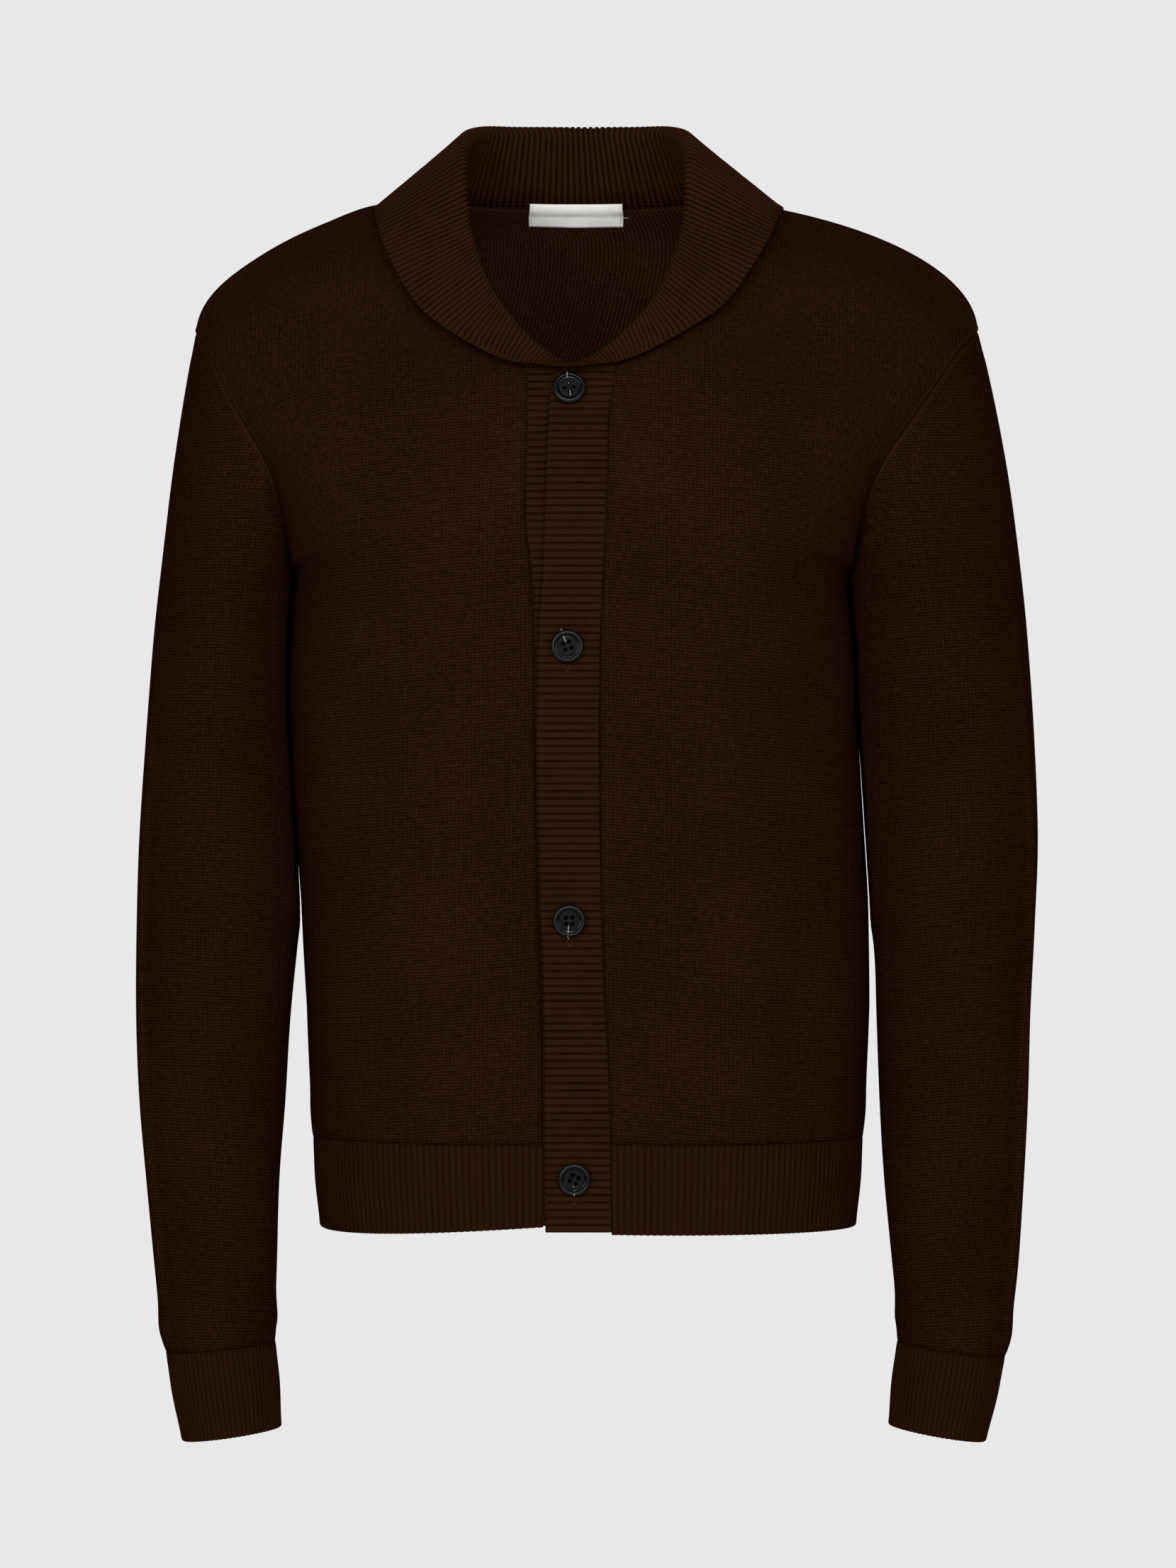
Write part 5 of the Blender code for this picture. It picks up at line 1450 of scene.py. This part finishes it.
thread("label_tail", face[-1, 7] + LABEL_TAIL, 0.00018, PALE_THREAD)

# %% [markdown]
# ## Buttons
# Each button is turned from dark horn-like plastic: a round rim, a groove inside it, and a low
# flat dish with four holes. No two are sewn on at the same angle.

# %% Button finish and form
BUTTONS = Table(
    "x z turn",
    (-0.0113, -0.1252, -38.0),
    (-0.0125, -0.2801, 22.0),
    (-0.0113, -0.4451, 0.0),
    (-0.0083, -0.6011, -26.0),
)
BUTTON_RADIUS, BUTTON_THICKNESS, BUTTON_CLEAR = 0.0100, 0.0036, 0.0007
HOLE_RADIUS, HOLE_SPREAD, LATHE_SIDES = 0.0011, 0.0019, 72
# radius and height from the middle of the underside, as shares of the radius and the thickness
BUTTON_PROFILE = Table(
    "radius height",
    (0.00, 0.00), (0.80, 0.00), (0.93, 0.08), (0.99, 0.26), (1.00, 0.46), (0.985, 0.64), (0.95, 0.80),
    (0.91, 0.91), (0.87, 0.97), (0.83, 1.00), (0.79, 0.98), (0.755, 0.90), (0.73, 0.76), (0.71, 0.56),
    (0.69, 0.44), (0.66, 0.42), (0.63, 0.50), (0.60, 0.60), (0.54, 0.62), (0.30, 0.58), (0.00, 0.56),
)
# the same for the pin that drills a hole, with its radius as a share of the hole's
PIN_PROFILE = ((0.0, -1.0), (1.0, -1.0), (1.0, 0.47), (1.35, 0.60), (1.35, 2.0), (0.0, 2.0))
PIN_SIDES = 20


def horn():
    colour = (0.0026, 0.0029, 0.0034)
    material, shader, net = new_material("dark_horn", colour, 0.2, 0.22)
    place = net.add("ShaderNodeTexCoord", out=3)
    cloud, scuff = noise(net, place, 160.0, 4.0, "3D"), noise(net, place, 1500.0, 2.0, "3D")
    paint(net, shader, colour, (cloud - 0.5) * 0.9 + 1.0, scuff, 0.00002)
    rough = (cloud - 0.5) * 0.16 + 0.20
    net.tree.links.new(rough.socket, shader.inputs["Roughness"])
    return material


def lathe(name, profile, sides):
    angles = np.linspace(0, 2 * math.pi, sides + 1)[:-1]
    circle = np.stack([np.cos(angles), np.sin(angles)], axis=1)
    points = [(0.0, 0.0, profile[0][1]), (0.0, 0.0, profile[-1][1])]
    for radius, height in profile[1:-1]:
        points += [(radius * c, radius * s, height) for c, s in circle]
    faces = []
    for k in range(sides):
        after = (k + 1) % sides
        faces.append((0, 2 + after, 2 + k))
        for ring in range(len(profile) - 3):
            a, b = 2 + ring * sides, 2 + (ring + 1) * sides
            faces.append((a + k, a + after, b + after, b + k))
        last = 2 + (len(profile) - 3) * sides
        faces.append((last + k, last + after, 1))
    mesh = bpy.data.meshes.new(name)
    mesh.from_pydata([tuple(map(float, p)) for p in points], [], faces)
    return made_object(name, mesh)


def drilled(button, turn):
    """Drills the four holes with pins that flare at the top, so that each hole has a soft lip."""
    pin = [(r * HOLE_RADIUS, h * BUTTON_THICKNESS) for r, h in PIN_PROFILE]
    for quarter in range(4):
        a = math.radians(45 + 90 * quarter + turn)
        made = lathe("pin", pin, PIN_SIDES)
        for corner in made.data.vertices:
            corner.co.x += math.sqrt(2) * HOLE_SPREAD * math.cos(a)
            corner.co.y += math.sqrt(2) * HOLE_SPREAD * math.sin(a)
        cut = button.modifiers.new("hole", "BOOLEAN")
        cut.operation, cut.solver, cut.object = "DIFFERENCE", "EXACT", made
        mesh = finished_mesh(button)
        button.modifiers.clear()
        button.data = mesh
        bpy.data.objects.remove(made)
    return button


HORN = horn()
print("button profile:", len(BUTTON_PROFILE.rows), "rings")

# %% [markdown]
# Short ends of a pale thread show on each button, where they come up between its holes and its
# rim: their pale colour is partly painted highlight, for the glints along the thread. Two strands
# of the buttonhole's bar show under the lower three.

# %% The buttons, their threads and the buttonholes
def seated(z):
    """The band's own directions at a height: across, up and out."""
    out = band_normal(z)
    return point(1, 0, 0), np.cross(out, point(1, 0, 0)), out


# a thread is seen where it comes up: its two ends, across and up from the button's middle
BUTTON_THREADS = (
    (
        ((-0.0013, 0.0064), (-0.0013, 0.0097)),
        ((-0.0005, 0.0022), (-0.0003, 0.0030)),
        ((0.0004, -0.0020), (0.0006, -0.0052)),
    ),
    (((-0.0008, 0.0027), (-0.0024, 0.0060)), ((-0.0034, 0.0093), (-0.0036, 0.0102))),
    (((-0.0004, -0.0030), (-0.0009, -0.0098)), ((-0.0004, -0.0104), (-0.0004, -0.0110))),
    (((-0.0004, -0.0038), (-0.0003, -0.0045)), ((0.0000, -0.0084), (0.0000, -0.0097))),
)


def between(start, end):
    start, end = np.array(start), np.array(end)
    return [start + (end - start) * t for t in np.linspace(0, 1, 6)]


def button_top(a, b):
    """How high a thread lies over the button at this place."""
    share = math.hypot(a, b) / BUTTON_RADIUS
    radii, heights = BUTTON_PROFILE.rows[::-1].T
    rim = radii.argmax() + 1  # the rows up to here run from the middle out over the top
    high = float(np.interp(share, radii[:rim], heights[:rim])) if share < 1 else 0.30
    return high * BUTTON_THICKNESS + 0.0002


BAR_YARN = new_material("buttonhole_yarn", (0.045, 0.016, 0.009), 0.9, 0.0)[0]
for number, (x, z, turn) in enumerate(BUTTONS.rows, start=1):
    side, up, out = seated(z)
    seat = band_point(x, z, LAYER_GAP + BUTTON_CLEAR)
    profile = [tuple(p) for p in BUTTON_PROFILE.rows * (BUTTON_RADIUS, BUTTON_THICKNESS)]
    button = drilled(lathe(f"button_{number}_turned", profile, LATHE_SIDES), turn)
    for corner in button.data.vertices:
        corner.co = (seat + corner.co.x * side + corner.co.y * up + corner.co.z * out).tolist()
    button.data.materials.clear()
    button.data.materials.append(HORN)
    button.data.shade_smooth()
    button.data.set_sharp_from_angle(angle=math.radians(38))
    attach(button, "root")
    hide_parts(f"button_{number}")
    for n, stitch in enumerate(BUTTON_THREADS[number - 1], start=1):
        line = [seat + a * side + b * up + button_top(a, b) * out for a, b in between(*stitch)]
        # the thread's pale colour is partly a painted highlight for its glints
        thread(f"button_{number}_thread_{n}", line, 0.00016, PALE_THREAD)
    if number > 1:
        for name, start in (("left", -0.0016), ("right", 0.0018)):
            strand = ((start, 0.0112), (start * 0.6, 0.0135), (0.0003, 0.0160))
            line = [seat + a * side - b * up - 0.0006 * out for a, b in strand]
            thread(f"buttonhole_{number}_{name}", line, 0.0003, BAR_YARN)
print("buttons:", number)
